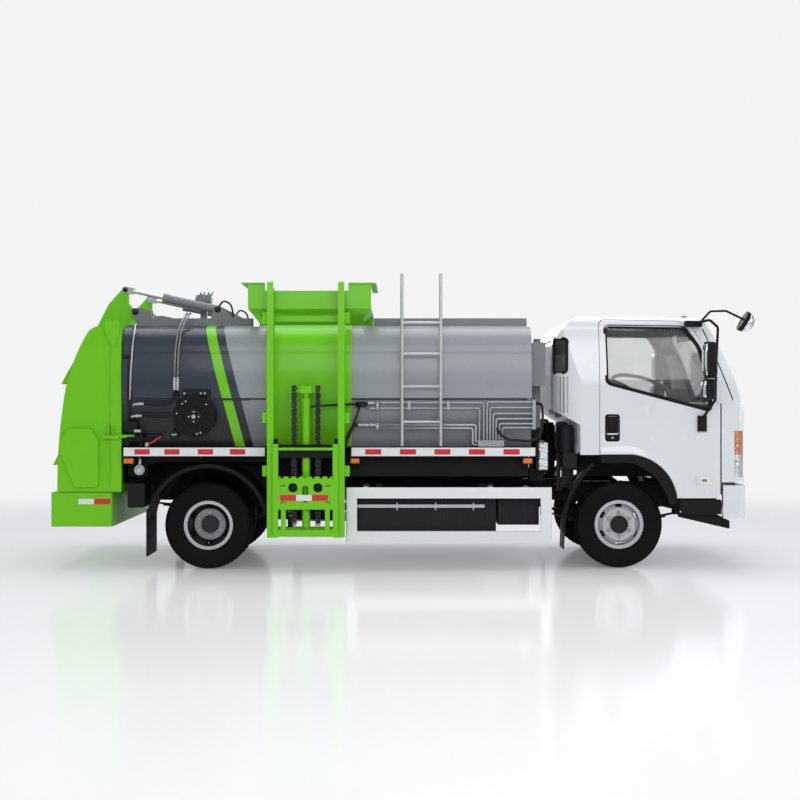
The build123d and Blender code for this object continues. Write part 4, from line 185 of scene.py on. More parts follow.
def sweep(path, radius, sides=12):
    """A round tube: point (i, j) is the path's point i plus radius times
    (cos a_j along one square direction + sin a_j along the other)."""
    path = np.asarray(path, float)
    one, two = frames_along(path)
    a = angles(sides)[None, :, None]
    radius = np.broadcast_to(radius, len(path))[:, None, None]
    points = path[:, None] + radius * (np.cos(a) * one[:, None] + np.sin(a) * two[:, None])
    return points.reshape(-1, 3), ring_faces(len(path), sides)


def turned(profile, centre, axis="y", side=-1, sides=24, phase=0.0):
    """A profile of (radius, reach) pairs turned about an axis through centre. Point (i, j)
    is radius_i (cos a_j, sin a_j) in the two other directions, reach_i outwards. Six sides
    make a nut, two dozen a cap."""
    profile = np.asarray(profile, float)
    a = phase + angles(sides)
    u = profile[:, :1] * np.cos(a)[None]
    v = profile[:, :1] * np.sin(a)[None] * side
    w = np.repeat(profile[:, 1:] * side, sides, 1)
    order = {"x": (w, u, v), "y": (v, w, u), "z": (u, v, w)}[axis]
    return np.stack(order, -1).reshape(-1, 3) + np.asarray(centre, float), ring_faces(len(profile), sides)


def arcs(corners, radius, steps=6, closed=False):
    """A path of straight runs whose corners are rounded: each corner is a quadratic
    curve between the points that lie radius before and after it."""
    corners = np.asarray(corners, float)
    path = [] if closed else [corners[0]]
    cut = slice(None) if closed else slice(1, -1)
    for before, here, after in zip(np.roll(corners, 1, 0)[cut], corners[cut], np.roll(corners, -1, 0)[cut]):
        a, b = before - here, after - here
        reach = min(radius, np.linalg.norm(a) * 0.49, np.linalg.norm(b) * 0.49)
        a = here + a / np.linalg.norm(a) * reach
        b = here + b / np.linalg.norm(b) * reach
        t = np.linspace(0, 1, steps)[:, None]
        path.extend((1 - t) ** 2 * a + 2 * t * (1 - t) * here + t**2 * b)
    return np.array(path if closed else [*path, corners[-1]])


def hose(corners, bend, radius, sides=12, steps=8):
    """A hose or pipe: a sweep along straight runs joined by bends."""
    return sweep(arcs(corners, bend, steps), radius, sides)


# %% Grids of points: cushions and closed sheets
def grid(u_span, v_span, steps):
    """Two arrays of parameters, u along the first index and v along the second."""
    return np.meshgrid(np.linspace(*u_span, steps[0]), np.linspace(*v_span, steps[1]), indexing="ij")


def sheet_faces(index):
    """Quads of a grid of point numbers, and the numbers met on a walk round its rim."""
    quads = np.stack([index[:-1, :-1], index[1:, :-1], index[1:, 1:], index[:-1, 1:]], -1)
    rim = np.concatenate([index[:-1, 0], index[-1, :-1], index[:0:-1, -1], index[0, :0:-1]])
    return quads.reshape(-1, 4), rim


def backed(points):
    """A grid of points whose rim is flat, closed behind by one face."""
    quads, rim = sheet_faces(np.arange(points[..., 0].size).reshape(points.shape[:2]))
    return points.reshape(-1, 3), [quads, rim[None, ::-1]]


def slab(front, back):
    """A closed sheet: two grids of points, the back one turned round, joined at the rim."""
    index = np.arange(front[..., 0].size).reshape(front.shape[:2])
    quads, rim = sheet_faces(index)
    after, n = np.roll(rim, -1), index.size
    walls = np.stack([rim, rim + n, after + n, after], -1)
    return np.concatenate([front, back]).reshape(-1, 3), [quads, sheet_faces(index.T + n)[0], walls]


def cushion(low, high, axis, side, face, depth, power=8, steps=(17, 13)):
    """A raised pad on a plane, such as a lens. low and high are its corners in the two
    other directions, face is the plane's place on axis, and it rises by
    depth ((1 - |u|^n)(1 - |v|^n))^0.5 towards side, with u and v from -1 to 1. Its rim
    lies 2 mm below the plane."""
    u, v = grid((-1, 1), (-1, 1), steps)
    rise = depth * ((1 - np.abs(u) ** power) * (1 - np.abs(v) ** power)) ** 0.5
    a = (low[0] + high[0]) / 2 + u * (high[0] - low[0]) / 2
    b = (low[1] + high[1]) / 2 + v * (high[1] - low[1]) / 2
    w = face + side * (rise - 0.002 * (rise <= 0))
    points, faces = backed(np.stack({"x": (w, a, b), "y": (a, w, b)}[axis], -1))
    outward = side if axis == "x" else -side
    return points, faces if outward > 0 else [f[:, ::-1] for f in faces]


def circle_through(p, q, r):
    """Centre and radius of the circle through three points, from the two equations that
    say the centre is as far from p as from q and from r."""
    p, q, r = (np.asarray(v, float) for v in (p, q, r))
    centre = np.linalg.solve(2 * np.array([q - p, r - p]), [q @ q - p @ p, r @ r - p @ p])
    return centre, np.linalg.norm(p - centre)


print("block, plate, sweep, turned, hose, cushion and slab are ready")

# %% [markdown]
# ## Numbers that vary over a surface
#
# A material is a graph of nodes, but most of it is plain arithmetic on a point's place.
# `Field` wraps a node's output so that `x + 0.25 * z` or `x < 2.0` in this file adds the
# Math nodes that say the same. A comparison gives 1 where it holds and 0 elsewhere, so
# a product of comparisons means all of them.


# %% Arithmetic that builds nodes
class Field:
    """A number or colour that a node works out at each point of a surface."""

    def __init__(self, socket):
        self.socket = socket

    def __add__(self, other):
        return maths("ADD", self, other)

    def __sub__(self, other):
        return maths("SUBTRACT", self, other)

    def __rsub__(self, other):
        return maths("SUBTRACT", other, self)

    def __mul__(self, other):
        return maths("MULTIPLY", self, other)

    def __lt__(self, other):
        return maths("LESS_THAN", self, other)

    def __gt__(self, other):
        return maths("GREATER_THAN", self, other)

    def __abs__(self):
        return maths("ABSOLUTE", self)


def plug(socket, value):
    """Links a field to a socket, or sets the socket to a plain number or colour."""
    if isinstance(value, Field):
        socket.id_data.links.new(value.socket, socket)
    else:
        socket.default_value = (*value, 1) if socket.type == "RGBA" else value


def maths(operation, a, b=0.0):
    """One Math node: a operation b, where either may be a plain number."""
    node = (a if isinstance(a, Field) else b).socket.id_data.nodes.new("ShaderNodeMath")
    node.operation = operation
    plug(node.inputs[0], a)
    plug(node.inputs[1], b)
    return Field(node.outputs[0])


def wire(tree, kind, out=0, setting=None, **inputs):
    """A new node with its inputs set by name, underscores standing for spaces, and one
    setting of its own if given. Returns the field at one of its outputs."""
    node = tree.nodes.new(kind)
    if setting:
        setattr(node, *setting)
    for key, value in inputs.items():
        plug(node.inputs[key.replace("_", " ")], value)
    return Field(node.outputs[out])


def spread(value, a, b, low=0.0, high=1.0, curve="LINEAR"):
    """Stretches value from the span a..b onto low..high, held at both ends."""
    return wire(value.socket.id_data, "ShaderNodeMapRange", 0, ("interpolation_type", curve), Value=value,
                From_Min=a, From_Max=b, To_Min=low, To_Max=high)


def tone(factor, low, high, blend="MIX"):
    """Mixes two colours, plain or fields, by factor."""
    tree = next(v for v in (factor, low, high) if isinstance(v, Field)).socket.id_data
    node = tree.nodes.new("ShaderNodeMix")
    node.data_type, node.blend_type = "RGBA", blend
    for socket, value in ((0, factor), (6, low), (7, high)):
        plug(node.inputs[socket], value)
    return Field(node.outputs[2])


def noise_at(place, scale, detail=3.0, rough=0.55):
    """Noise with that many grains to a metre."""
    return wire(place.socket.id_data, "ShaderNodeTexNoise", Vector=place, Scale=scale, Detail=detail,
                Roughness=rough)


def waves_at(place, scale, way):
    """Waves that run along one direction."""
    return wire(place.socket.id_data, "ShaderNodeTexWave", "Fac", ("bands_direction", way), Vector=place,
                Scale=scale)


def axes(place):
    """The X, Y and Z of a place as three fields."""
    node = place.socket.id_data.nodes.new("ShaderNodeSeparateXYZ")
    plug(node.inputs[0], place)
    return [Field(output) for output in node.outputs]


def coat_with(shader, **inputs):
    """Sets a shader's inputs by name."""
    for key, value in inputs.items():
        plug(shader.inputs[key.replace("_", " ")], value)


def emboss(shader, height, depth, strength=1.0):
    """Bumps a shader's surface by a height field, depth metres from 0 to 1."""
    tree = height.socket.id_data
    coat_with(shader, Normal=wire(tree, "ShaderNodeBump", Height=height, Strength=strength, Distance=depth))


def start_finish(name):
    """A new material, its tree and shader, and the place in truck metres."""
    material = bpy.data.materials.new(name)
    material.use_nodes = True
    tree = material.node_tree
    return material, tree, tree.nodes["Principled BSDF"], wire(tree, "ShaderNodeTexCoord", "Object")


print("fields are ready")

# %% [markdown]
# ## The studio
#
# The truck stands on a pale floor under soft light, seen square from its right side.
# Five large lamps light it: one overhead, which draws the bright band along the tank's
# shoulder, one behind the camera for the side, and weaker ones for the nose, the tail
# and the far side. The world is white to the camera and through glass, but dim for
# lighting and for reflections, so black parts stay black. The floor is a disc that
# glows a little and turns see-through towards its rim, which hides where it ends.

# %% Camera, lamps and world
scene = bpy.context.scene
scene.view_settings.view_transform = "Standard"

lens = bpy.data.cameras.new("camera")
lens.lens, lens.sensor_width, lens.clip_end = 58.68, 36.0, 200.0
camera = bpy.data.objects.new("camera", lens)
camera.location = (-0.024, -13.0, 1.56)
camera.rotation_euler = (math.radians(90), 0, 0)
scene.collection.objects.link(camera)
scene.camera = camera

for name, place, aim, size, power in (
    ("overhead_lamp", (0, 0.3, 7.0), (0, 0, 1), (9, 4), 340),
    ("side_lamp", (1.0, -9.5, 4.6), (0, -1, 1.1), (9, 3.5), 300),
    ("nose_lamp", (9.0, -3.0, 3.2), (2, 0, 1.2), (4, 4), 125),
    ("tail_lamp", (-9.0, -2.0, 3.4), (-2, 0, 1.2), (4, 4), 70),
    ("far_lamp", (0, 9.0, 4.4), (0, 1, 1.2), (9, 3), 190),
):
    data = bpy.data.lights.new(name, "AREA")
    data.shape, data.size, data.size_y, data.energy = "RECTANGLE", *size, power
    lamp = bpy.data.objects.new(name, data)
    x, y, z = np.subtract(aim, place)
    lamp.location = place
    lamp.rotation_euler = (math.atan2(math.hypot(x, y), -z), 0, math.atan2(y, x) - math.pi / 2)
    scene.collection.objects.link(lamp)

BACKDROP = (0.90, 0.903, 0.91)
scene.world = bpy.data.worlds.new("studio")
scene.world.use_nodes = True
tree = scene.world.node_tree
tree.nodes.clear()
rays = tree.nodes.new("ShaderNodeLightPath").outputs
seen = maths("MAXIMUM", Field(rays["Is Camera Ray"]), Field(rays["Is Transmission Ray"]))
dim = wire(tree, "ShaderNodeBackground", Color=(0.92, 0.95, 1.0), Strength=0.46)
white = wire(tree, "ShaderNodeBackground", Color=BACKDROP)
pick = tree.nodes.new("ShaderNodeMixShader")
for socket, value in zip(pick.inputs, (seen, dim, white)):
    plug(socket, value)
plug(tree.nodes.new("ShaderNodeOutputWorld").inputs["Surface"], Field(pick.outputs[0]))
print("camera at", tuple(camera.location), "with", len(bpy.data.lights), "lamps")

# %% The floor
rim = 34 * np.stack([np.cos(angles(96)), np.sin(angles(96)), np.zeros(96)], 1)
floor_mesh = bpy.data.meshes.new("floor")
floor_mesh.from_pydata(rim.tolist(), [], [list(range(96))])
floor = bpy.data.objects.new("floor", floor_mesh)
scene.collection.objects.link(floor)

floor_finish, tree, shader, place = start_finish("studio_floor")
coat_with(shader, Base_Color=(0.87, 0.87, 0.875), Roughness=0.14, Specular_IOR_Level=0.2,
          Emission_Color=BACKDROP, Emission_Strength=0.15)
reach = tree.nodes.new("ShaderNodeVectorMath")
reach.operation = "LENGTH"
plug(reach.inputs[0], place)
fade = spread(Field(reach.outputs["Value"]), 4.5, 11.0, curve="SMOOTHSTEP")
mix = tree.nodes.new("ShaderNodeMixShader")
gone = wire(tree, "ShaderNodeBsdfTransparent")
for socket, value in zip(mix.inputs, (fade, Field(shader.outputs[0]), gone)):
    plug(socket, value)
plug(tree.nodes["Material Output"].inputs["Surface"], Field(mix.outputs[0]))
floor_mesh.materials.append(floor_finish)
print("floor", 2 * 34, "metres across")

# %% [markdown]
# ## Finishes
#
# Truck paint is never one flat colour: its tone drifts slowly over a metre or two, its
# gloss is broken by a fine orange-peel ripple, and a film of road dust lies low down.
# `finish_for` builds that once. The colour is mixed with a darker tone by soft, large
# noise. Dust is strongest near the ground: its share falls with height. The bump is a
# fine noise, and roughness wanders between two values.
#
# A black surface under white light shows mostly what it mirrors. Four parts in a
# hundred of a white sky is a mid grey, so rubber and satin black get a low specular.


# %% One recipe for paint, plastic and metal
def finish_for(name, colour, vary=0.06, rough=(0.3, 0.4), metal=0.0, coat=0.0, grain=0.0, grain_scale=300.0,
               dust=0.0, dust_top=0.9, painter=None, specular=0.5, slot=None):
    """A procedural finish. vary is how far the tone drifts, rough the span of roughness,
    coat a clear lacquer, grain the height of the bump in metres, dust the share of pale
    dust at the ground, gone by dust_top metres up. painter may lay a colour pattern."""
    material, _, shader, place = start_finish(name)
    cloud = spread(noise_at(place, 0.9, 2, 0.4), 0.35, 0.65, 0.0, vary)
    speck = spread(noise_at(place, 140, 1), 0.55, 0.75, 0.0, vary * 0.5)
    paint = tone(cloud + speck, painter(place) if painter else colour, (0.30, 0.31, 0.33), "MULTIPLY")
    if dust:
        low_down = spread(axes(place)[2], 0.05, dust_top, dust, 0.0)
        settled = low_down * spread(noise_at(place, 2.2, 3), 0.3, 0.7, 0.35, 1.0)
        paint = tone(settled, paint, (0.20, 0.185, 0.16))
    uneven = spread(noise_at(place, 7, 3), 0.3, 0.7, *rough)
    coat_with(shader, Base_Color=paint, Roughness=uneven, Metallic=metal, Specular_IOR_Level=specular,
              Coat_Weight=coat, Coat_Roughness=0.06)
    if grain:
        emboss(shader, noise_at(place, grain_scale, 2), grain)
    return material


def reopen(material):
    """A finish's tree and shader, the place, and the colour it has so far."""
    tree = material.node_tree
    shader = tree.nodes["Principled BSDF"]
    base = Field(shader.inputs["Base Color"].links[0].from_socket)
    return tree, shader, wire(tree, "ShaderNodeTexCoord", "Object"), base


def shade(colour, share):
    """A darker colour: each part times share."""
    return tuple(c * share for c in colour)


def dress(material, names):
    """Gives CAD nodes, named in one string, a finish in place of the one they came with."""
    for name in names.split():
        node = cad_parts[name]
        for slot in node.material_slots:
            slot.material = material
        if not node.material_slots:
            node.data.materials.append(material)
    print(material.name, "on", names)


# %% [markdown]
# ## Patterns painted on the solids
#
# The cab's shell is one hollow solid, so its inside and its arches need another colour
# than its outside. `cab_colours` asks of each point whether it lies more than half a
# wall's thickness inside the outer form. The form's front, back and sides are written
# as the X or Y they reach at a height Z, and its rounded rear corners as circles. A point
# inside them all is lining; a point below the arch and not on the outer side is
# underseal.
#
# The tank is slate behind and silver-grey in front, with a lime stripe and a slate band
# where they meet. The stripe leans back: its edge moves 0.252 m rearwards for each
# metre up. So `X + 0.252 (Z - 1.119)` is constant along its edge, and the pattern is
# just three steps of that one number. Both sides match. Painted shade darkens the slate
# and the silver below the crease, where the lower panel faces down, but not the lime.

# %% Colours by place
CAB_WHITE, GUARD_WHITE = (0.70, 0.725, 0.75), (0.78, 0.79, 0.80)
LIME, SLATE, SILVER = (0.158, 0.55, 0.006), (0.032, 0.044, 0.057), (0.285, 0.305, 0.325)
BLACK, ROOF_GREY, CLEAR = (0.0075, 0.0075, 0.008), (0.20, 0.21, 0.225), (0.92, 0.93, 0.95)
HALF_WALL = 0.021
REAR_CORNER = circle_through((1.665, 0.975), (1.484, 0.891), (1.400, 0.705))
BROW = circle_through((1.400, 2.010), (1.512, 2.256), (1.780, 2.362))
STRIPE_REAR, STRIPE_FRONT, BAND_FRONT = -1.546, -1.456, -1.378


def beyond(u, v, centre, radius):
    """1 where (u, v) lies outside a circle drawn in by half a wall, by its distance from
    the centre."""
    du, dv = u - centre[0], v - centre[1]
    return du * du + dv * dv > (radius - HALF_WALL) ** 2


def cab_colours(place):
    """White where a point is on the outer skin, dark grey inside it and black below."""
    x, y, z = axes(place)
    side = abs(y)
    back = spread(z, 1.33, 1.47, 1.661, 1.421)
    front = spread(z, 1.545, 1.92, 3.109, 2.971) + spread(z, 1.92, 2.262, 0, -0.174)
    front = front + spread(z, 2.262, 2.325, 0, -0.09)
    roof = spread(side, 0.73, 0.85, 2.322, 2.283) + spread(side, 0.85, 0.885, 0, -0.08)
    corner = beyond(x, side, *REAR_CORNER) * (x < 1.665) * (side > 0.705)
    brow = beyond(x, z, *BROW) * (x < 1.780) * (z > 2.01)
    within = side < spread(z, 1.5, 2.25, 0.952, 0.872)
    inside = within * (z < roof) * (x > back) * (x < front) * (1.0 - corner) * (1.0 - brow)
    low = within * (z < 1.07) * (x < 2.94)
    return tone(low, tone(inside, CAB_WHITE, (0.055, 0.056, 0.06)), (0.008, 0.008, 0.009))


def tank_colours(place):
    """Slate, lime, slate, silver, in steps of X + 0.252 (Z - 1.119), with painted shade
    that darkens the panel below the crease, more so on the slate part."""
    x, y, z = axes(place)
    along = x + (z - 1.119) * 0.252
    # film is painted shade: below the crease the panel is darkened where it faces down into shade, most on
    # the slate.
    film = spread(along < BAND_FRONT, 0, 1, 0.42, 0.95) * spread(z, 1.34, 1.60, 1.0, 0.0)
    panels = tone(along > BAND_FRONT, SLATE, SILVER)
    panels = tone(film * (abs(y) < 1.02), panels, (0.010, 0.011, 0.011))
    return tone((along > STRIPE_REAR) * (along < STRIPE_FRONT), panels, LIME)


def guard_colours(place):
    """The guard frames are white and the stays above them black."""
    return tone(axes(place)[2] > 0.766, GUARD_WHITE, BLACK)


def box_colours(place):
    """Service boxes are black below the tank's floor and grey above it."""
    return tone(axes(place)[2] > 1.30, BLACK, ROOF_GREY)


def lamp_colours(place):
    """Amber in the headlamp's upper outer corner, clear elsewhere."""
    x, y, z = axes(place)
    return tone((abs(y) > 0.832) * (z > 1.055), CLEAR, (0.95, 0.32, 0.03))


# %% [markdown]
# ## The truck's paints and metals
#
# The loader, hopper, tailgate and their fittings are one bright lime green. The cab is
# a slightly cool white under clear lacquer. Everything under the body is black.

# %% Greens, whites, blacks and metals
lime_paint = finish_for("lime_paint", LIME, 0.05, (0.3, 0.38), coat=0.12, specular=0.26, grain=0.00008,
                        grain_scale=420, dust=0.06, slot="lift_green")
cab_paint = finish_for("cab_paint", CAB_WHITE, 0.02, (0.22, 0.28), coat=0.6, grain=0.00003, grain_scale=380,
                       painter=cab_colours, slot="cab_white")
tank_paint = finish_for("tank_paint", SILVER, 0.06, (0.26, 0.34), coat=0.12, grain=0.0001, grain_scale=360,
                        painter=tank_colours, specular=0.3)
guard = dict(vary=0.05, rough=(0.32, 0.42), metal=0.1, grain=0.00005, dust=0.08)
guard_paint = finish_for("guard_paint", GUARD_WHITE, **guard, slot="cab_white")
rail_guard_paint = finish_for("rail_guard_paint", GUARD_WHITE, **guard, painter=guard_colours)
chassis_paint = finish_for("chassis_paint", BLACK, 0.2, (0.42, 0.55), grain=0.00015, dust=0.03, specular=0.14)
cast_paint = finish_for("cast_paint", (0.012, 0.012, 0.0125), 0.25, (0.5, 0.66), grain=0.0004,
                        grain_scale=160, dust=0.04, specular=0.16, slot="cast_black")
case_paint = finish_for("case_paint", (0.011, 0.011, 0.013), 0.15, grain=0.00008, grain_scale=500, dust=0.03,
                        specular=0.2, slot="case_black")
box_paint = finish_for("box_paint", BLACK, 0.1, (0.34, 0.46), grain=0.0001, dust=0.03, specular=0.2,
                       painter=box_colours)
trim_plastic = finish_for("trim_plastic", BLACK, 0.15, (0.42, 0.54), grain=0.0002, grain_scale=900, dust=0.02,
                          specular=0.14, slot="trim_black")
roof_paint = finish_for("roof_paint", ROOF_GREY, 0.10, (0.36, 0.48), grain=0.00008)
bare_metal = finish_for("bare_aluminium", (0.50, 0.51, 0.52), 0.12, (0.36, 0.5), metal=0.75, grain=0.00005,
                        grain_scale=600, slot="bare_aluminium")
pipe_metal = finish_for("pipe_metal", (0.36, 0.375, 0.39), 0.08, (0.3, 0.42), metal=0.6, grain=0.00005,
                        grain_scale=500, slot="bright_rod")
rod_chrome = finish_for("rod_chrome", (0.70, 0.71, 0.72), 0.04, (0.10, 0.16), metal=1.0, slot="bright_rod")
chain_metal = finish_for("chain_metal", (0.030, 0.029, 0.027), 0.3, (0.34, 0.5), metal=0.5, grain=0.0002,
                         grain_scale=220, specular=0.3, slot="bright_rod")
cabin_plastic = finish_for("cabin_plastic", (0.05, 0.052, 0.057), 0.1, (0.5, 0.6), grain=0.0003,
                           grain_scale=800, specular=0.3, slot="interior_grey")

# %% [markdown]
# ## Glass, lamps and cloth
#
# Cab glass is lightly tinted and sharp. A lamp lens is clear plastic over a bright
# reflector, so it gets a fine ribbed bump. The seats are woven cloth.


# %% Glass, lenses and cloth
def glass_for(name, colour, see_through, rough=0.02, ribs=0.0, painter=None):
    """Tinted glass: see_through is the share of light that passes, ribs is a bump height,
    and painter may lay a colour pattern."""
    material, _, shader, place = start_finish(name)
    cloud = spread(noise_at(place, 4.0), 0.3, 0.7, 0.0, 0.3)
    film = spread(noise_at(place, 18.0, 4), 0.35, 0.7, rough, rough + 0.05)
    tint = tone(cloud, painter(place) if painter else colour, shade(colour, 0.7))
    coat_with(shader, Base_Color=tint, Roughness=film, Transmission_Weight=see_through, IOR=1.45)
    if ribs:
        emboss(shader, waves_at(place, 26.0, "Z"), ribs)
    return material


def cloth_for(name, colour):
    """Woven cloth: two crossed waves, one per thread direction, raise and darken it."""
    material, _, shader, place = start_finish(name)
    weave = waves_at(place, 45.0, "Y") * waves_at(place, 45.0, "DIAGONAL")
    cloud = spread(noise_at(place, 6.0), 0.3, 0.7, 0.0, 0.35)
    base = tone(cloud, tone(weave, shade(colour, 0.5), colour), shade(colour, 0.6))
    coat_with(shader, Base_Color=base, Roughness=0.9, Sheen_Weight=0.3)
    emboss(shader, weave, 0.0006)
    return material


cab_window = glass_for("cab_window", (0.78, 0.80, 0.79), 0.97)
lamp_glass = glass_for("lamp_glass", CLEAR, 0.7, 0.05, ribs=0.0008, painter=lamp_colours)
amber_lens = glass_for("amber_lens", (0.95, 0.20, 0.012), 0.2, 0.1, ribs=0.0006)
red_lens = glass_for("red_lens", (0.55, 0.008, 0.01), 0.15, 0.12, ribs=0.0006)
seat_cloth = cloth_for("seat_cloth", (0.10, 0.105, 0.115))

# %% Dress the solids
for finish, names in (
    (tank_paint, "tank_shell"),
    (lime_paint, "hopper lift_mast sheave_head tipping_frame tailgate_shell tailgate_sump"),
    (cab_paint, "cab_shell front_panel bumper door_right door_left"),
    (rail_guard_paint, "side_guards"),
    # lift_carriage is painted black as painted shade: its plate stands where only dark shade shows between
    # the lifter's posts.
    (chassis_paint, "chassis_frame body_subframe lift_carriage"),
    (cast_paint, "front_axle_beam leaf_springs rear_axle_housing drive_unit knuckle_right knuckle_left"),
    (case_paint, "battery_pack cab_rear_gear"),
    (trim_plastic, "mudguards arch_liners bumper_skid hose_reel mirrors_right mirrors_left"),
    (roof_paint, "roof_fittings tail_cylinder_barrels"),
    (box_paint, "service_boxes"),
    (bare_metal, "ladder"),
    (pipe_metal, "hydraulic_pipes"),
    (rod_chrome, "tail_cylinder_rods"),
    (chain_metal, "hoist_chains"),
    (cabin_plastic, "dashboard"),
    (cab_window, "cab_glass door_glass_right door_glass_left"),
    (lamp_glass, "headlamps"),
    (red_lens, "tail_lamps"),
    (seat_cloth, "seats"),
):
    dress(finish, names)

# %% [markdown]
# ## Tyres
#
# A tyre is a profile turned about its axle. The profile runs from bead to bead over
# both side walls and the tread. Two things break the plain turning: the tread's
# grooves, cut where a saw of the angle meets the tread's width, and shallow side-wall
# rings. Both only lower the radius or the wall, so the tyre never grows past the solid
# that it stands for.

# %% Turn a tyre with its tread
TYRE_RADIUS, TYRE_WIDTH, RIM_RADIUS = 0.405, 0.212, 0.232
FRONT_AXLE, REAR_AXLE = 2.009, -1.791
AROUND, STEPS, GROOVE = 168, 46, 0.011


def tyre_shape(x, y):
    """Grid of angle i and profile step j. The profile is a super-ellipse: height
    (1 - |s|^n)^(1/n) over the half width s. A groove is cut where the step is inside the
    tread and the angle's saw, leaning with s, is near its edge; two rings run all round."""
    t = np.linspace(-1, 1, STEPS)
    theta = np.sign(t) * np.abs(t) ** 0.92 * math.pi * 0.5
    across = np.sign(np.sin(theta)) * np.abs(np.sin(theta)) ** 0.42
    up = np.abs(np.cos(theta)) ** 0.42
    bulge = RIM_RADIUS + (TYRE_RADIUS - RIM_RADIUS) * up
    half = TYRE_WIDTH / 2 * across * (1 - 0.10 * (1 - up) ** 2)
    half = half * (1 - 0.012 * (np.abs(up - 0.55) < 0.05))
    angle, s = angles(AROUND)[:, None], np.abs(across)
    blocks = (s > 0.34) & ((angle * 28 / math.pi + s * 1.1) % 1.0 < 0.36)
    rings = (np.abs(s - 0.30) < 0.09) | (s < 0.05)
    r = bulge - np.where((up > 0.93) & (s < 0.96) & (blocks | rings), GROOVE, 0.0)
    points = np.stack([x + r * np.cos(angle), y + half + 0 * r, TYRE_RADIUS + r * np.sin(angle)], -1)
    i = np.arange(AROUND)[:, None] * STEPS
    k = np.roll(i, -1, 0)
    j = np.arange(STEPS - 1)
    tread = np.stack([i + j, i + j + 1, k + j + 1, k + j], -1).reshape(-1, 4)
    bead = np.concatenate([i, k, k + STEPS - 1, i + STEPS - 1], 1)
    return points.reshape(-1, 3), np.concatenate([tread, bead])


tyre_rubber = finish_for("tyre_rubber", (0.0045, 0.0045, 0.005), 0.12, (0.55, 0.7), grain=0.0002,
                         grain_scale=500, dust=0.02, dust_top=0.5, specular=0.08, slot="tyre_rubber")
for tyre, body, x, rows in (
    ("front_tyre", "front_wheel", FRONT_AXLE, (0.812,)),
    ("rear_tyres", "rear_wheels", REAR_AXLE, (0.890, 0.644)),
):
    for name, side in (("right", -1), ("left", 1)):
        shapes = [tyre_shape(x, side * y) for y in rows]
        rubber = lay_piece(f"{tyre}_{name}_tread", shapes, tyre_rubber, f"{body}_{name}")
        rubber.data.set_sharp_from_angle(angle=math.radians(38))
        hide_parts(f"{tyre}_{name}")
        print(rubber.name, "has", len(rubber.data.polygons), "faces")

# %% [markdown]
# ## Rims, nuts and valves
#
# A rim is silver where it is seen and rolled on, and painted black deep inside as painted
# shade. The rear disc is dished, and between its flat plate and the flange a dark ring of
# painted shade is laid. Both are one question about the distance r from the axle:
# `r = sqrt((x - axle)^2 + (z - 0.405)^2)`.
# The nuts are six-sided turnings on the studs, plated a pale gold, with a washer and
# the stud's end.


# %% Paint a rim by its distance from the axle
def rim_colours(place):
    """Silver flange and front disc, grey rear plate, black hub, and painted shade: black in the dished ring
    and inside.
    """
    x, y, z = axes(place)
    depth, front = abs(y), x > 0.0
    rear = 1.0 - front
    ahead, up = x - spread(front, 0, 1, REAR_AXLE, FRONT_AXLE), z - TYRE_RADIUS
    r = maths("SQRT", ahead * ahead + up * up)
    # Painted shade: the dished ring of the rear disc and the inner side of each rim are painted black where
    # shade falls; the hub at r < 0.0815 is black of its own.
    ring = (r < 0.1958) * (r > 0.145) * rear
    shaded_inside = (depth < spread(r, 0.147, 0.196, 0.884, 0.834)) * (r > 0.1) * front
    shaded_inside = maths("MAXIMUM", shaded_inside, depth < 0.83)
    colour = tone((r < 0.145) * rear, (0.52, 0.53, 0.55), (0.27, 0.28, 0.30))
    for black in (ring, shaded_inside, r < 0.0815):
        colour = tone(black, colour, (0.010, 0.010, 0.011))
    return colour


rim_paint = finish_for("rim_paint", SILVER, 0.06, (0.28, 0.38), metal=0.35, grain=0.00006, dust=0.06,
                       painter=rim_colours)
dress(rim_paint, "front_rim_right front_rim_left rear_rims_right rear_rims_left")
zinc_gold = finish_for("zinc_gold", (0.50, 0.46, 0.37), 0.12, (0.25, 0.36), metal=0.85, grain=0.00005,
                       grain_scale=700, slot="rim_silver")

# %% Nuts, studs and valves
NUT_CIRCLE, VALVE_DROP = 0.111, 0.178


def wheel_nuts(x, side, face):
    """Six nuts with washer and stud on the stud circle of a disc whose face is at Y face."""
    shapes = []
    for a in angles(6):
        at = (x + NUT_CIRCLE * math.sin(a), side * face, TYRE_RADIUS + NUT_CIRCLE * math.cos(a))
        shapes.append(turned([(0.0205, 0.0), (0.0205, 0.0025), (0.0185, 0.004)], at, "y", side, 24))
        nut = [(0.0168, 0.003), (0.0168, 0.021), (0.0148, 0.0235)]
        shapes.append(turned(nut, at, "y", side, 6, math.pi / 6))
        shapes.append(turned([(0.0075, 0.02), (0.0075, 0.032), (0.006, 0.034)], at, "y", side, 12))
    return shapes


def valve_stem(x, side, y):
    """A tyre valve: a short bent tube from the rim with a cap."""
    low = TYRE_RADIUS - VALVE_DROP
    stem = [(x, side * y, low - 0.008), (x, side * (y + 0.01), low), (x, side * (y + 0.045), low + 0.012)]
    path = arcs(stem, 0.01, 5)
    cap = turned([(0.006, -0.002), (0.006, 0.012), (0.004, 0.014)], path[-1], "y", side, 12)
    return [sweep(path, 0.0045, 10), cap]


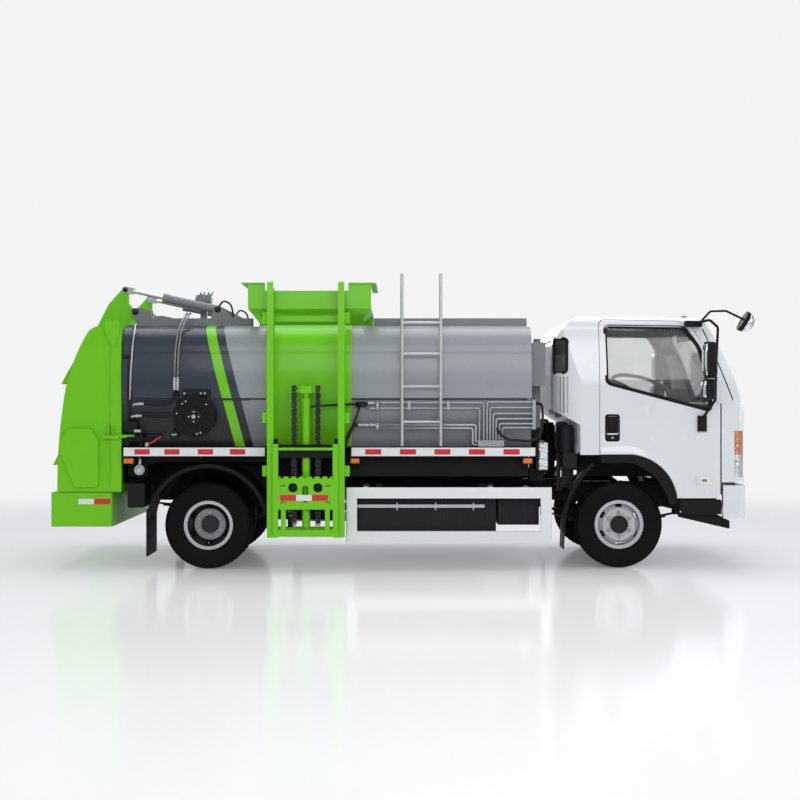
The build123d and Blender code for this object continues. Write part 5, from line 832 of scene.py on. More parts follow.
DRUM = [(0.10, -0.09), (0.172, -0.085), (0.172, -0.01), (0.160, -0.004), (0.120, 0.0), (0.086, 0.004)]
for name, side in (("right", -1), ("left", 1)):
    for axle, wheel, x, face, y in (
        ("front", "wheel", FRONT_AXLE, 0.892, 0.852),
        ("rear", "wheels", REAR_AXLE, 0.858, 0.892),
    ):
        body = f"{axle}_{wheel}_{name}"
        ring = wheel_nuts(x, side, face)
        nuts = lay_piece(f"{axle}_wheel_nuts_{name}", ring, zinc_gold, body, smooth=False)
        lay_piece(f"{axle}_tyre_valve_{name}", valve_stem(x, side, y), bare_metal, body)
        print(nuts.name, "on", body)
    drum = turned(DRUM, (FRONT_AXLE, side * 0.828, TYRE_RADIUS), "y", side, 64)
    drum = lay_piece(f"front_brake_drum_{name}", drum, cast_paint, f"front_wheel_{name}")
    drum.data.set_sharp_from_angle(angle=math.radians(30))

# %% [markdown]
# ## Reflective tape and marker lamps
#
# The side rails carry white tape with a red block about every 0.3 m, so that drivers
# see the truck's length at night. Tape is a skin a millimetre thick. Its facets are
# real, but its fine honeycomb is a bump of cells. Amber marker lamps sit in shallow
# bezels just under the rail.


# %% Tape along both side rails
def tape_for(name, colour, slot):
    """Prismatic tape: a cell pattern shades and raises the film."""
    material = finish_for(name, colour, 0.04, (0.18, 0.3), coat=0.5, slot=slot)
    tree, shader, place, base = reopen(material)
    to_edge = ("feature", "DISTANCE_TO_EDGE")
    cells = wire(tree, "ShaderNodeTexVoronoi", "Distance", to_edge, Vector=place, Scale=260.0)
    edge = spread(cells, 0.0, 0.12)
    coat_with(shader, Base_Color=tone(edge, shade(colour, 0.8), base))
    emboss(shader, edge, 0.0002, 0.5)
    return material


def side_block(side, x, y, z):
    """A block from three spans, with Y measured outwards on one side of the truck."""
    near, far = sorted((side * y[0], side * y[1]))
    return block((x[0], near, z[0]), (x[1], far, z[1]))


white_tape = tape_for("white_tape", (0.78, 0.79, 0.80), "cab_white")
red_tape = tape_for("red_tape", (0.62, 0.012, 0.016), "lamp_red")
WHITE_REAR, LIFTER_REAR, LIFTER_FRONT, WHITE_FRONT = -2.555, -1.262, -0.468, 1.214
REAR_REDS, FRONT_REDS = (-2.455, -2.182, -1.875, -1.581), (-0.343, -0.026, 0.290, 0.607, 0.923)
# The rail's face in Y and each film's outer face over it, and their spans in Z.
WHITE_FACE, WHITE_SPAN = (1.062, 1.063), (1.046, 1.124)
RED_FACE, RED_SPAN = (1.062, 1.0636), (1.060, 1.110)
whites, reds = [], []
for side in (-1, 1):
    # On the right the lifter interrupts the tape; on the left it runs through.
    runs = [(WHITE_REAR, LIFTER_REAR if side < 0 else LIFTER_FRONT), (LIFTER_FRONT, WHITE_FRONT)]
    rear = REAR_REDS + (() if side < 0 else (LIFTER_REAR, -0.95))
    marks = [(x, x + 0.140) for x in rear] + [(x, x + 0.148) for x in FRONT_REDS]
    whites += [side_block(side, x, WHITE_FACE, WHITE_SPAN) for x in runs]
    reds += [side_block(side, x, RED_FACE, RED_SPAN) for x in marks]
lay_piece("rail_tape_white", whites, white_tape, smooth=False)
lay_piece("rail_tape_red", reds, red_tape, smooth=False)
print(len(reds), "red blocks on the rails")

# %% Marker lamps under the rail
lenses, bezels = [], []
for side in (-1, 1):
    for x0, x1 in ((-2.565, -2.458), (-0.489, -0.389), (1.095, 1.195)):
        low, high = (x0 + 0.006, 0.976), (x1 - 0.006, 1.028)
        lenses.append(cushion(low, high, "y", side, side * 1.050, 0.016, steps=(13, 9)))
        bezels.append(side_block(side, (x0, x1), (1.0, 1.050), (0.970, 1.034)))
lay_piece("side_markers", lenses, amber_lens)
soften(lay_piece("side_marker_bezels", bezels, trim_plastic, smooth=False), 0.004)
print(len(lenses), "amber markers")

# %% [markdown]
# ## Seals round the glass
#
# Each window sits in a rubber seal. A seal is a band laid on the cab's skin: its path
# is the window's rounded outline, lifted on to the skin, and its section is a flat strip
# with rounded shoulders. The skin's own form gives the lift. The side leans in above
# 1.5 m by a parabola through three measured widths, the screen is part of a circle
# through three points, and so is each rear corner seen from above.

# %% Bands laid on a skin
SKIN_HALF = 0.975
SCREEN_CENTRE, SCREEN_RADIUS = circle_through((2.818, 2.262), (2.992, 1.920), (3.130, 1.545))


def cab_side(z):
    """Half the cab's width at height z: 0.975 + 0.0436 t - 0.2136 t^2 above 1.5 m."""
    t = np.clip(z - 1.5, 0, None)
    return np.minimum(SKIN_HALF, SKIN_HALF + 0.0436 * t - 0.2136 * t**2)


def on_side(xz):
    """Points (x, z) laid on the cab's right side."""
    return np.stack([xz[:, 0], -cab_side(xz[:, 1]), xz[:, 1]], 1)


def on_screen(yz, lift=0.0):
    """Points (y, z) laid on the screen: x is the circle's centre plus
    sqrt(radius^2 - (z - centre)^2), pushed out by lift along the circle's normal."""
    yz = np.asarray(yz, float)
    rise = yz[:, 1] - SCREEN_CENTRE[1]
    ahead = np.sqrt(SCREEN_RADIUS**2 - rise**2)
    out = np.stack([ahead, 0 * ahead, rise], 1) / SCREEN_RADIUS
    return np.stack([SCREEN_CENTRE[0] + ahead, yz[:, 0], yz[:, 1]], 1) + out * lift, out


def band(path, out, width, low, high, closed=True):
    """A strip whose section lies square to the path: half the width to each side, from low
    under the path to high over it, along out. Its two upper edges are bevelled."""
    out = np.broadcast_to(np.asarray(out, float), path.shape)
    along = np.roll(path, -1, 0) - np.roll(path, 1, 0) if closed else np.gradient(path, axis=0)
    across = np.cross(along, out)
    across /= np.linalg.norm(across, axis=1, keepdims=True)
    w, shoulder = width / 2, low + (high - low) * 0.6
    rim = [(w, low), (w, shoulder), (w * 0.8, high)]
    section = np.array([(-w, low)] + rim + [(-w * 0.8, high), (-w, shoulder)])
    points = path[:, None] + section[None, :, :1] * across[:, None] + section[None, :, 1:] * out[:, None]
    n, m = len(path), len(section)
    i, j = np.arange(n if closed else n - 1)[:, None], np.arange(m)
    i2, j2 = (i + 1) % n, (j + 1) % m
    faces = [np.stack([i * m + j, i2 * m + j, i2 * m + j2, i * m + j2], -1).reshape(-1, 4)]
    if not closed:
        faces += [j[None], ((n - 1) * m + j[::-1])[None]]
    return points.reshape(-1, 3), faces


# %% Door, screen and corner window seals
DOOR_WINDOW = [(1.884, 1.716), (1.876, 2.246), (2.610, 2.236), (2.742, 2.050), (2.842, 1.640), (2.842, 1.462)]
SCREEN_WINDOW = [(-0.868, 1.579), (0.868, 1.579), (0.790, 2.248), (-0.790, 2.248)]
CORNER_WINDOW = [(-0.105, -0.16), (0.105, -0.16), (0.105, 0.16), (-0.105, 0.16)]
seal_rubber = finish_for("seal_rubber", (0.008, 0.008, 0.008), 0.1, (0.5, 0.6), grain=0.0001, grain_scale=900,
                         specular=0.16, slot="trim_black")
door_seal = band(on_side(arcs(DOOR_WINDOW, 0.044, 7, closed=True)), (0, -1, 0), 0.036, -0.016, 0.0025)
screen_seal = band(*on_screen(arcs(SCREEN_WINDOW, 0.07, 7, closed=True)), 0.034, -0.012, 0.002)
outline = arcs(CORNER_WINDOW, 0.045, 7, closed=True)
centre, radius = REAR_CORNER
flat = np.stack([1.446 - 0.8387 * outline[:, 0], 0.850 - 0.5446 * outline[:, 0]], 1) - centre
flat /= np.linalg.norm(flat, axis=1, keepdims=True)
on_skin = centre + flat * radius
path = np.stack([on_skin[:, 0], -on_skin[:, 1], 1.972 + outline[:, 1]], 1)
corner_seal = band(path, np.stack([flat[:, 0], -flat[:, 1], 0 * flat[:, 0]], 1), 0.030, -0.012, 0.002)
for name, shape in (("right", door_seal), ("left", mirrored(door_seal))):
    lay_piece(f"door_seal_{name}", shape, seal_rubber, f"door_{name}", smooth=False)
lay_piece("cab_seals", [screen_seal, corner_seal, mirrored(corner_seal)], seal_rubber, "cab", smooth=False)
print("seals on the screen, both doors and both corners")

# %% [markdown]
# ## Cab fittings
#
# The handles, lamps, mirror glass, wipers and grille mesh are small, but a truck
# without them looks like a model of a model. Most are cushions of different powers:
# a soft one for a grip, a sharp one for a lens or a sheet of mirror glass.

# %% Handles, side lamps and mirror glass on the doors
REPEATER_CLEAR = (0.88, 0.87, 0.85)


def repeater_colours(place):
    """A clear lens with an amber bulb behind its middle."""
    x, y, z = axes(place)
    return tone((abs(x - 2.779) < 0.024) * (abs(z - 0.819) < 0.012), REPEATER_CLEAR, (0.55, 0.14, 0.015))


mirror_glass = finish_for("mirror_glass", (0.75, 0.77, 0.79), 0.02, (0.02, 0.05), metal=1.0,
                          slot="window_glass")
reflector = finish_for("reflector", (0.80, 0.80, 0.81), 0.02, (0.06, 0.12), metal=1.0, grain=0.0003,
                       grain_scale=160, slot="rim_silver")
repeater_lens = glass_for("repeater_lens", REPEATER_CLEAR, 0.15, 0.06, ribs=0.0004, painter=repeater_colours)
MIRROR_Y, MIRROR_HALF = 1.198, 0.078
for name, side in (("right", -1), ("left", 1)):
    body = f"door_{name}"
    tray = cushion((1.866, 1.176), (2.005, 1.430), "y", side, side * 0.9735, 0.003, 14)
    grip = cushion((1.879, 1.250), (1.992, 1.411), "y", side, side * 0.978, 0.012, 6)
    barrel = [(0.011, 0.0), (0.011, 0.004), (0.009, 0.006)]
    lock = turned(barrel, (1.935, side * 0.9765, 1.212), "y", side, 20)
    base = cushion((2.706, 0.770), (2.852, 0.868), "y", side, side * SKIN_HALF, 0.010, 7)
    lens = cushion((2.722, 0.784), (2.836, 0.854), "y", side, side * 0.984, 0.013, 5)
    low, high = side * MIRROR_Y - MIRROR_HALF, side * MIRROR_Y + MIRROR_HALF
    main = cushion((low, 1.770), (high, 2.074), "x", -1, 2.7445, 0.030, 3)
    wide = cushion((low, 1.576), (high, 1.736), "x", -1, 2.7345, 0.034, 3)
    lay_piece(f"door_handle_{name}", [tray, grip], trim_plastic, body)
    lay_piece(f"door_lock_{name}", lock, bare_metal, body)
    lay_piece(f"side_lamp_base_{name}", base, guard_paint, body)
    lay_piece(f"side_lamp_{name}", lens, repeater_lens, body)
    lay_piece(f"mirror_glass_{name}", [main, wide], mirror_glass, body)
print("handles, side lamps and mirrors on both doors")

# %% [markdown]
# ## The cab's front
#
# The side view shows only the edge of the front, so its details follow what such cabs
# have: two headlamps with polished bowls behind one lens, a slotted grille with a black
# mesh, wipers parked low on the screen and sun visors behind it. Points on the screen
# are given by y and z, and the screen's circle gives their x.

# %% Lamp bowls, grille mesh, wipers and visors
BOWL = [(0.30, 0.0), (0.96, 0.022), (1.0, 0.040), (0.95, 0.040), (0.80, 0.026), (0.5, 0.012), (0.2, 0.007)]
bowls = []
for y, z, r in ((0.765, 0.965, 0.062), (0.893, 0.965, 0.050), (0.765, 1.135, 0.055), (0.893, 1.135, 0.050)):
    shape = turned([(r * a, h) for a, h in BOWL], (3.062, y, z), "x", 1, 40)
    bowls += [shape, mirrored(shape)]
lay_piece("headlamp_bowls", bowls, reflector, "cab").data.set_sharp_from_angle(angle=0.6)
bars = [block((3.160, -0.53, 0.985), (3.167, 0.53, 1.230))]
bars += [block((3.167, y, 0.99), (3.176, y + 0.006, 1.225)) for y in np.arange(-0.51, 0.52, 0.034)]
lay_piece("grille_mesh", bars, trim_plastic, "cab", smooth=False)
wipers = []
for pivot, blade in (
    ((-0.50, 1.556), ((-0.52, 1.672), (0.16, 1.590))),
    ((0.16, 1.556), ((0.14, 1.672), (0.80, 1.590))),
):
    elbow, tip = np.array(pivot) + [(0.136, 0.0264), (0.34, 0.066)]
    arm, out = on_screen([pivot, elbow, tip], 0.020)
    wipers.append(sweep(arcs(arm, 0.1), 0.0065, 10))
    hub_at = on_screen([pivot])[0][0]
    wipers.append(turned([(0.020, -0.010), (0.020, 0.020), (0.014, 0.028)], hub_at, "x", 1, 20))
    edge, out = on_screen(np.linspace(*blade, 14), 0.001)
    wipers.append(band(edge, out, 0.007, 0.0, 0.012, closed=False))
    wipers.append(band(edge, out, 0.018, 0.012, 0.022, closed=False))
lay_piece("wipers", wipers, trim_plastic, "cab", smooth=False)
visors = [block((2.700, y, 2.118), (2.722, y + 0.56, 2.262)) for y in (-0.70, 0.14)]
soften(lay_piece("sun_visors", visors, cabin_plastic, "cab", smooth=False), 0.009, 3)
MARKER_BASE = [(0.030, -0.014), (0.030, 0.004), (0.026, 0.006)]
MARKER_DOME = [(0.023, 0.004), (0.022, 0.014), (0.017, 0.022), (0.009, 0.026)]
for piece, profile, finish in (
    ("roof_marker_bases", MARKER_BASE, trim_plastic),
    ("roof_markers", MARKER_DOME, lamp_glass),
):
    lay_piece(piece, [turned(profile, (2.630, y, 2.334), "z", 1, 28) for y in (-0.80, 0.80)], finish, "cab")

# %% Splash guards between the arches and the rails
ARCH_CENTRE, ARCH_CURVE = circle_through((2.109, 1.054), (2.399, 0.922), (2.534, 0.611))
z = np.linspace(1.046, 0.832, 12)
curve = np.stack([ARCH_CENTRE[0] + np.sqrt(ARCH_CURVE**2 - (z - ARCH_CENTRE[1]) ** 2) - 0.004, z], 1)
outline = np.concatenate([[(1.665, 0.832), (1.665, 1.048), (2.05, 1.048)], curve])
guards = [plate(outline, "xz", y, y + 0.006) for y in (-0.548, 0.542)]
lay_piece("splash_guards", guards, seal_rubber, "cab", smooth=False)
print("cab front and splash guards are on")

# %% [markdown]
# ## Flares, pillar seals and door pulls
#
# Above each front wheel the door's skin swells into a flare. It is a grid of two
# parameters: one runs along the arch, the other across from the crease to the arch's
# edge. The swelling is a quarter sine across, so it starts flush at the crease and
# stands 13 mm proud at the edge. A dark seal runs down the screen pillar, and inside
# each window an arched pull crosses from the sill to the dash end.


# %% Swell a strip between two curves
def along_curve(points, count):
    """Evenly spaced points on a smooth curve through given ones: each coordinate is a
    polynomial, of power 5 at most, fitted to the distance walked."""
    points = np.asarray(points, float)
    walked = np.concatenate([[0], np.cumsum(np.linalg.norm(np.diff(points, axis=0), axis=1))])
    at, power = np.linspace(0, walked[-1], count), min(5, len(points) - 1)
    return np.stack([np.polyval(np.polyfit(walked, column, power), at) for column in points.T], 1)


def swelling(crease, edge, side, face, rise, rows=7):
    """Grid between two curves of (x, z): point (i, j) is the mix of crease_i and edge_i at
    t_j, standing rise sin(t_j 90 degrees) off the face, closed by a flat back."""
    t = np.linspace(0, 1, rows)
    x, z = np.moveaxis(crease[:, None] * (1 - t)[None, :, None] + edge[:, None] * t[None, :, None], -1, 0)
    out = face + side * rise * np.sin(t * math.pi / 2) + 0 * x
    return facing(slab(np.stack([x, out, z], -1), np.stack([x, 0 * out + face - side * 0.001, z], -1)))


def arch_turn(x, z):
    """The angle at which the arch's circle passes a point."""
    return math.atan2(z - ARCH_CENTRE[1], x - ARCH_CENTRE[0])


CREASE = [(1.828, 1.130), (2.009, 1.136), (2.168, 1.118), (2.327, 1.050), (2.454, 0.938), (2.565, 0.812),
          (2.640, 0.672)]
PULL = [(1.936, 0.914, 1.640), (1.938, 0.890, 1.716), (1.955, 0.884, 1.776), (2.029, 0.884, 1.795),
        (2.157, 0.884, 1.782), (2.270, 0.884, 1.756), (2.382, 0.884, 1.708), (2.478, 0.886, 1.636),
        (2.530, 0.890, 1.560), (2.545, 0.914, 1.500)]
PILLAR = [(2.775, 2.236), (2.883, 1.975), (2.978, 1.735), (3.046, 1.560)]
crease = along_curve(CREASE, 40).clip([1.826, 0.665], None)
turn = np.linspace(arch_turn(2.109, 1.054), arch_turn(2.528, 0.668), 24)
bend = ARCH_CENTRE + (ARCH_CURVE + 0.008) * np.stack([np.cos(turn), np.sin(turn)], 1)
edge = np.concatenate([np.stack([np.linspace(1.826, 2.109, 16), np.full(16, 1.062)], 1), bend])
for name, side in (("right", -1), ("left", 1)):
    flare = swelling(crease, edge, side, side * SKIN_HALF, 0.013)
    lay_piece(f"arch_flare_{name}", flare, cab_paint, f"door_{name}").data.set_sharp_from_angle(angle=0.7)
    pull = hose(np.array(PULL) * (1, side, 1), 0.05, 0.017, 14, 6)
    lay_piece(f"door_pull_{name}", pull, cabin_plastic, f"door_{name}")
seam = band(on_side(along_curve(PILLAR, 24)), (0, -1, 0), 0.012, -0.008, 0.0016, closed=False)
lay_piece("pillar_seals", [facing(seam), facing(mirrored(seam))], seal_rubber, "cab", smooth=False)


# %% Domes of the nose mirrors
def dome(centre, way, radius, reach, rows=12, sides=32):
    """A spherical cap about the direction way: angles 0 to reach from it, closed flat."""
    way = np.asarray(way, float) / np.linalg.norm(way)
    one = np.cross(way, (0.0, 1.0, 0.0))
    one /= np.linalg.norm(one)
    a = angles(sides)[None, :, None]
    fall = np.linspace(reach, reach / rows, rows)[:, None, None]
    ring = np.cos(a) * one + np.sin(a) * np.cross(way, one)
    points = np.asarray(centre) + radius * (np.cos(fall) * way + np.sin(fall) * ring)
    return facing((points.reshape(-1, 3), ring_faces(rows, sides)))


nose = dome((3.112, -1.096, 2.280), (0.866, 0, -0.5), 0.0972, math.radians(76))
lay_piece("nose_mirror_glass", nose, mirror_glass, "door_right")
print("flares, pulls, pillar seals and the nose mirror are on")

# %% [markdown]
# ## Bolts, hose ends and hoses
#
# Everything below the tank is bolted or piped. A bolt head is a six-sided turning on a
# round washer. A hose end is a crimped sleeve and a hexagon nut, set along any
# direction. A hose is a sweep along a path with rounded corners. Braided hose gets its
# criss-cross from two sets of fine slanted ribs in its material.


# %% Bolt heads and hose ends
def bolt_heads(centres, radius=0.009):
    """Hexagon heads on washers; each centre lies on the face under its washer."""
    washer = [(radius * 1.55, -0.001), (radius * 1.55, 0.0018)]
    head = [(radius, 0.0006), (radius, radius * 0.55), (radius * 0.84, radius * 0.72)]
    shapes = []
    for number, centre in enumerate(centres):
        shapes += [turned(washer, centre, sides=16), turned(head, centre, sides=6, phase=0.3 * number)]
    return gather(shapes)


def hose_end(start, towards, radius=0.014):
    """A crimped sleeve from start in the direction of towards, then a hexagon nut."""
    way = towards / np.linalg.norm(towards)
    reach = np.array([0.0, 0.002, 0.010, 0.013, 0.024, 0.027, 0.040, 0.042])
    swell = np.array([0.85, 1.0, 1.0, 0.88, 0.88, 1.0, 1.0, 0.8])
    sleeve = sweep(start + reach[:, None] * way, radius * swell, 14)
    nut = np.array([0.038, 0.040, 0.058, 0.060])
    return gather([sleeve, sweep(start + nut[:, None] * way, radius * np.array([1.0, 1.22, 1.22, 1.0]), 6)])


def braid_for(name, colour, slot):
    """Braided wire: two slanted sets of fine ribs shade and raise the surface."""
    material = finish_for(name, colour, 0.05, (0.26, 0.36), metal=0.7, slot=slot)
    tree, shader, place, base = reopen(material)
    one, two = (
        waves_at(wire(tree, "ShaderNodeMapping", Vector=place, Rotation=(0.0, turn, turn)), 70.0, "Z")
        for turn in (0.7, -0.7)
    )
    coat_with(shader, Base_Color=tone(one * two, tone(0.6, base, (0.02, 0.02, 0.02)), base))
    emboss(shader, one * two, 0.0006)
    return material


braided_wire = braid_for("braided_wire", (0.40, 0.41, 0.43), "bare_aluminium")
hose_rubber = finish_for("hose_rubber", (0.010, 0.010, 0.011), 0.12, (0.34, 0.44), grain=0.0001,
                         grain_scale=900, specular=0.22, slot="tyre_rubber")
print("bolts, hose ends and braid are ready")

# %% The washing hose reel
REEL_X, REEL_FACE_Y, REEL_Z, REEL_RADIUS = -1.912, -1.064, 1.407, 0.192
REEL_MIDDLE = (REEL_X, REEL_FACE_Y, REEL_Z)


def hoop(y, radius, thick):
    """A ring of round section about the reel's axle."""
    a = np.append(angles(48), 2 * math.pi)
    return sweep(np.stack([REEL_X + radius * np.cos(a), y + 0 * a, REEL_Z + radius * np.sin(a)], 1), thick, 8)


def on_reel(radius, turns, lift=0.0):
    """Places on the disc's face, radius out, at each turn in radians."""
    return [(REEL_X + radius * math.cos(a), REEL_FACE_Y - lift, REEL_Z + radius * math.sin(a)) for a in turns]


rims = [hoop(y, REEL_RADIUS - 0.004, 0.006) for y in (REEL_FACE_Y - 0.002, -1.000)]
rims.append(turned([(0.070, -0.001), (0.070, 0.004), (0.062, 0.007)], REEL_MIDDLE, sides=36))
rims.append(turned([(0.030, 0.005), (0.030, 0.016), (0.024, 0.020)], REEL_MIDDLE, sides=24))
lay_piece("reel_rims", rims, case_paint)

# The hose itself: layers of coils seen through the windows of the disc.
coils = []
for layer, (radius, rows) in enumerate(((0.170, 3), (0.150, 2), (0.130, 2))):
    first = REEL_FACE_Y + 0.016 + 0.0095 * (layer % 2)
    coils += [hoop(first + 0.019 * row, radius, 0.0095) for row in range(rows)]
lay_piece("reel_hose", coils, hose_rubber)
bolts = [bolt_heads(on_reel(0.042, angles(4), 0.006), 0.007), bolt_heads(on_reel(0.0, [0.0], 0.019), 0.013)]
bolts.insert(1, bolt_heads(on_reel(0.160, (0.78, 2.05, 2.30, 2.95, 4.90, 5.12)), 0.006))
lay_piece("reel_bolts", bolts, bare_metal)
print("reel with", len(coils), "coils")

# %% Braided hoses down from the roof, and black hoses on to the valve
braids, blacks, ends = [], [], []
for shift, level, far in ((0.0, 1.518, -2.377), (0.029, 1.409, -2.396)):
    x = -2.091 + shift
    down = [(x + 0.072, -0.770, 2.372), (x + 0.061, -0.850, 2.335), (x + 0.019, -0.955, 2.215),
            (x + 0.006, -1.036, 2.020)]
    braids.append(hose([*down, (x, -1.046, 1.765)], 0.09, 0.0105, 10))
    lower = [(x, -1.046, 1.652), (x - 0.002, -1.046, level + 0.09),
             (-2.130 + 1.5 * shift, -1.050, level - 0.002)]
    blacks.append(hose([*lower, (-2.26, -1.048, level), (far, -1.040, level + 0.006)], 0.10, 0.0125, 10))
    ends.append(hose_end((x, -1.046, 1.768), (0, 0, -1), 0.0135))
    ends.append(hose_end((x, -1.046, 1.650), (0, 0, 1), 0.0135))
    ends.append(hose_end((far + 0.004, -1.040, level + 0.006), (-1, 0, 0), 0.0145))
lay_piece("braided_hoses", braids, braided_wire)
lay_piece("water_hoses", blacks, hose_rubber)

# Elbows and a thin rinse pipe finish the run at the tank's rear corner.
for elbow in (
    [(-2.430, -1.040, 1.524), (-2.470, -1.040, 1.520), (-2.472, -1.000, 1.500)],
    [(-2.450, -1.040, 1.415), (-2.485, -1.040, 1.410), (-2.487, -1.000, 1.395)],
):
    ends.append(hose(elbow, 0.03, 0.011, 10, 6))
ends.append(hose_end((-2.400, -1.046, 1.276), (-1, 0, 0), 0.015))
rinse = [(-2.470, -0.930, 2.262), (-2.478, -1.030, 2.075), (-2.484, -1.044, 1.921), (-2.494, -1.044, 1.801),
         (-2.501, -1.044, 1.560)]
ends.append(hose(rinse, 0.08, 0.008, 10))
lay_piece("hose_ends", ends, bare_metal)
thin = [(-2.512, -1.028, 1.960), (-2.518, -1.036, 1.900), (-2.520, -1.040, 1.500), (-2.520, -1.026, 1.374)]
fixtures = [
    hose(thin, 0.05, 0.0075, 10),
    block((-2.537, -1.030, 1.262), (-2.441, -0.975, 1.365)),
    block((-2.566, -1.040, 1.941), (-2.509, -1.004, 1.973)),
    block((-2.019, -1.046, 1.598), (-1.765, -1.004, 1.604)),
    block((-2.019, -1.046, 1.604), (-1.765, -1.040, 1.655)),
    block((-2.019, -1.046, 1.604), (-2.013, -1.004, 1.655)),
    block((-1.771, -1.046, 1.604), (-1.765, -1.004, 1.655)),
]
soften(lay_piece("rear_fixtures", fixtures, case_paint, smooth=False), 0.003)

# %% Valve handles
red_grip = finish_for("red_grip", (0.48, 0.012, 0.010), 0.06, coat=0.2, slot="lamp_red")
GRIP_RADII = [0.0065, *[0.009] * 6, 0.0075]
grip = arcs([(-2.342, -1.064, 1.150), (-2.300, -1.066, 1.168), (-2.213, -1.064, 1.225)], 0.02, 6)
lay_piece("valve_grip", sweep(grip, GRIP_RADII, 12), red_grip)
valve = [
    turned([(0.018, -0.008), (0.018, 0.016), (0.012, 0.020)], (-2.342, -1.050, 1.150), sides=18),
    block((-2.356, -1.052, 1.128), (-2.328, -1.030, 1.172)),
    bolt_heads([(-2.342, -1.070, 1.150)], 0.008),
    bolt_heads([(-2.105, -1.048, 1.243), (-2.080, -1.048, 1.243), (-2.001, -1.048, 1.620),
                (-1.813, -1.048, 1.620), (-1.850, -1.048, 1.620)], 0.007),
]
lay_piece("valve_body", valve, bare_metal)
small = block((-2.126, -1.048, 1.215), (-2.060, -0.990, 1.270))
soften(lay_piece("small_valve", small, case_paint, smooth=False), 0.004)
print("two braided hoses, two water hoses, a lever and a valve")

# %% The work lamp, the tailgate's green bar, a painted shade strip on the crease and a hose loop
LAMP_X, LAMP_Y, LAMP_Z = -2.424, -0.985, 0.916
CASE = [(0.030, -0.050), (0.047, -0.030), (0.048, 0.010), (0.044, 0.014), (0.040, 0.008)]
case = turned(CASE, (LAMP_X, LAMP_Y, LAMP_Z), sides=32)
arm = block((LAMP_X - 0.014, LAMP_Y + 0.004, LAMP_Z), (LAMP_X + 0.014, LAMP_Y + 0.016, 1.060))
lay_piece("work_lamp_case", [case, arm], bare_metal)
bulge = [(0.041 * math.cos(a), 0.007 + 0.010 * math.sin(a)) for a in np.linspace(0, 1.5, 8)]
lay_piece("work_lamp_lens", turned(bulge, (LAMP_X, LAMP_Y, LAMP_Z), sides=32), lamp_glass)
bar = block((-2.640, -1.034, 1.213), (-2.461, -1.010, 1.240))
soften(lay_piece("tailgate_bar", bar, lime_paint, "tailgate", smooth=False), 0.003)

# A dark strip along the crease on both sides is painted shade: it stands for the shade under the step where
# the upper panel overhangs the lower one.
crease_shade_grey = finish_for("crease_shade_grey", (0.035, 0.037, 0.040), 0.1, (0.45, 0.55), grain=0.0001, specular=0.2,
                       slot="trim_black")
seam = [block((-2.500, -1.0015, 1.557), (-1.405, -0.985, 1.575)),
        block((-1.405, -1.0010, 1.563), (1.150, -0.985, 1.574))]
lay_piece("crease_shade_strip", seam + [mirrored(shape) for shape in seam], crease_shade_grey, smooth=False)
loop = [(0.868, -1.014, 1.300), (0.890, -1.046, 1.250), (0.965, -1.048, 1.194), (1.185, -1.048, 1.182),
        (1.268, -1.046, 1.235), (1.288, -1.034, 1.420), (1.280, -1.005, 1.525), (1.222, -0.990, 1.530)]
lay_piece("corner_hose", hose(loop, 0.07, 0.0125), hose_rubber)
print("work lamp at", (LAMP_X, LAMP_Z), "and a seam on both sides of the tank")

# %% [markdown]
# ## Leaf chains
#
# A hoist chain is a stack of thin figure-eight plates on pins, each row shifted by one
# pitch from the next. One plate is drawn once, lying along Y. Its copies are turned in
# the YZ plane so that each runs from one pin to the next: up the front leg, round the
# sheave and down the back leg.

# %% Plates from pin to pin
LIFT_X, CHAIN_Y, CHAIN_X, CHAIN_PITCH = -0.874, -1.190, 0.108, 0.0381
CHAIN_LOW_Z, SHEAVE_Z, CHAIN_BEND = 0.432, 1.640, 0.047
PLATE_HALF, PLATE_THICK, PLATE_STEP = 0.0083, 0.0052, 0.006


def chain_pins():
    """Pin centres (n, 2) in Y and Z, one pitch apart along the chain."""
    leg = SHEAVE_Z - CHAIN_LOW_Z
    reach = np.arange(0, 2 * leg + math.pi * CHAIN_BEND, CHAIN_PITCH)
    turn = np.clip((reach - leg) / CHAIN_BEND, 0, math.pi)
    down = np.clip(reach - leg - math.pi * CHAIN_BEND, 0, None)
    z = np.minimum(CHAIN_LOW_Z + reach, SHEAVE_Z) + CHAIN_BEND * np.sin(turn) - down
    return np.stack([CHAIN_Y - CHAIN_BEND * np.cos(turn), z], 1)


def along_links(template, pins, starts):
    """Copies of a template, each turned to run from pin k towards pin k + 1."""
    points, faces = template
    way = pins[starts + 1] - pins[starts]
    across, up = (way / np.linalg.norm(way, axis=1, keepdims=True)).T[:, :, None]
    y = pins[starts, :1] + points[:, 1] * across - points[:, 2] * up
    z = pins[starts, 1:] + points[:, 1] * up + points[:, 2] * across
    lift = (np.arange(len(starts)) * len(points))[:, None, None]
    faces = [(f[None] + lift).reshape(-1, f.shape[1]) for f in faces]
    return np.stack([points[:, 0] + 0 * y, y, z], -1).reshape(-1, 3), faces


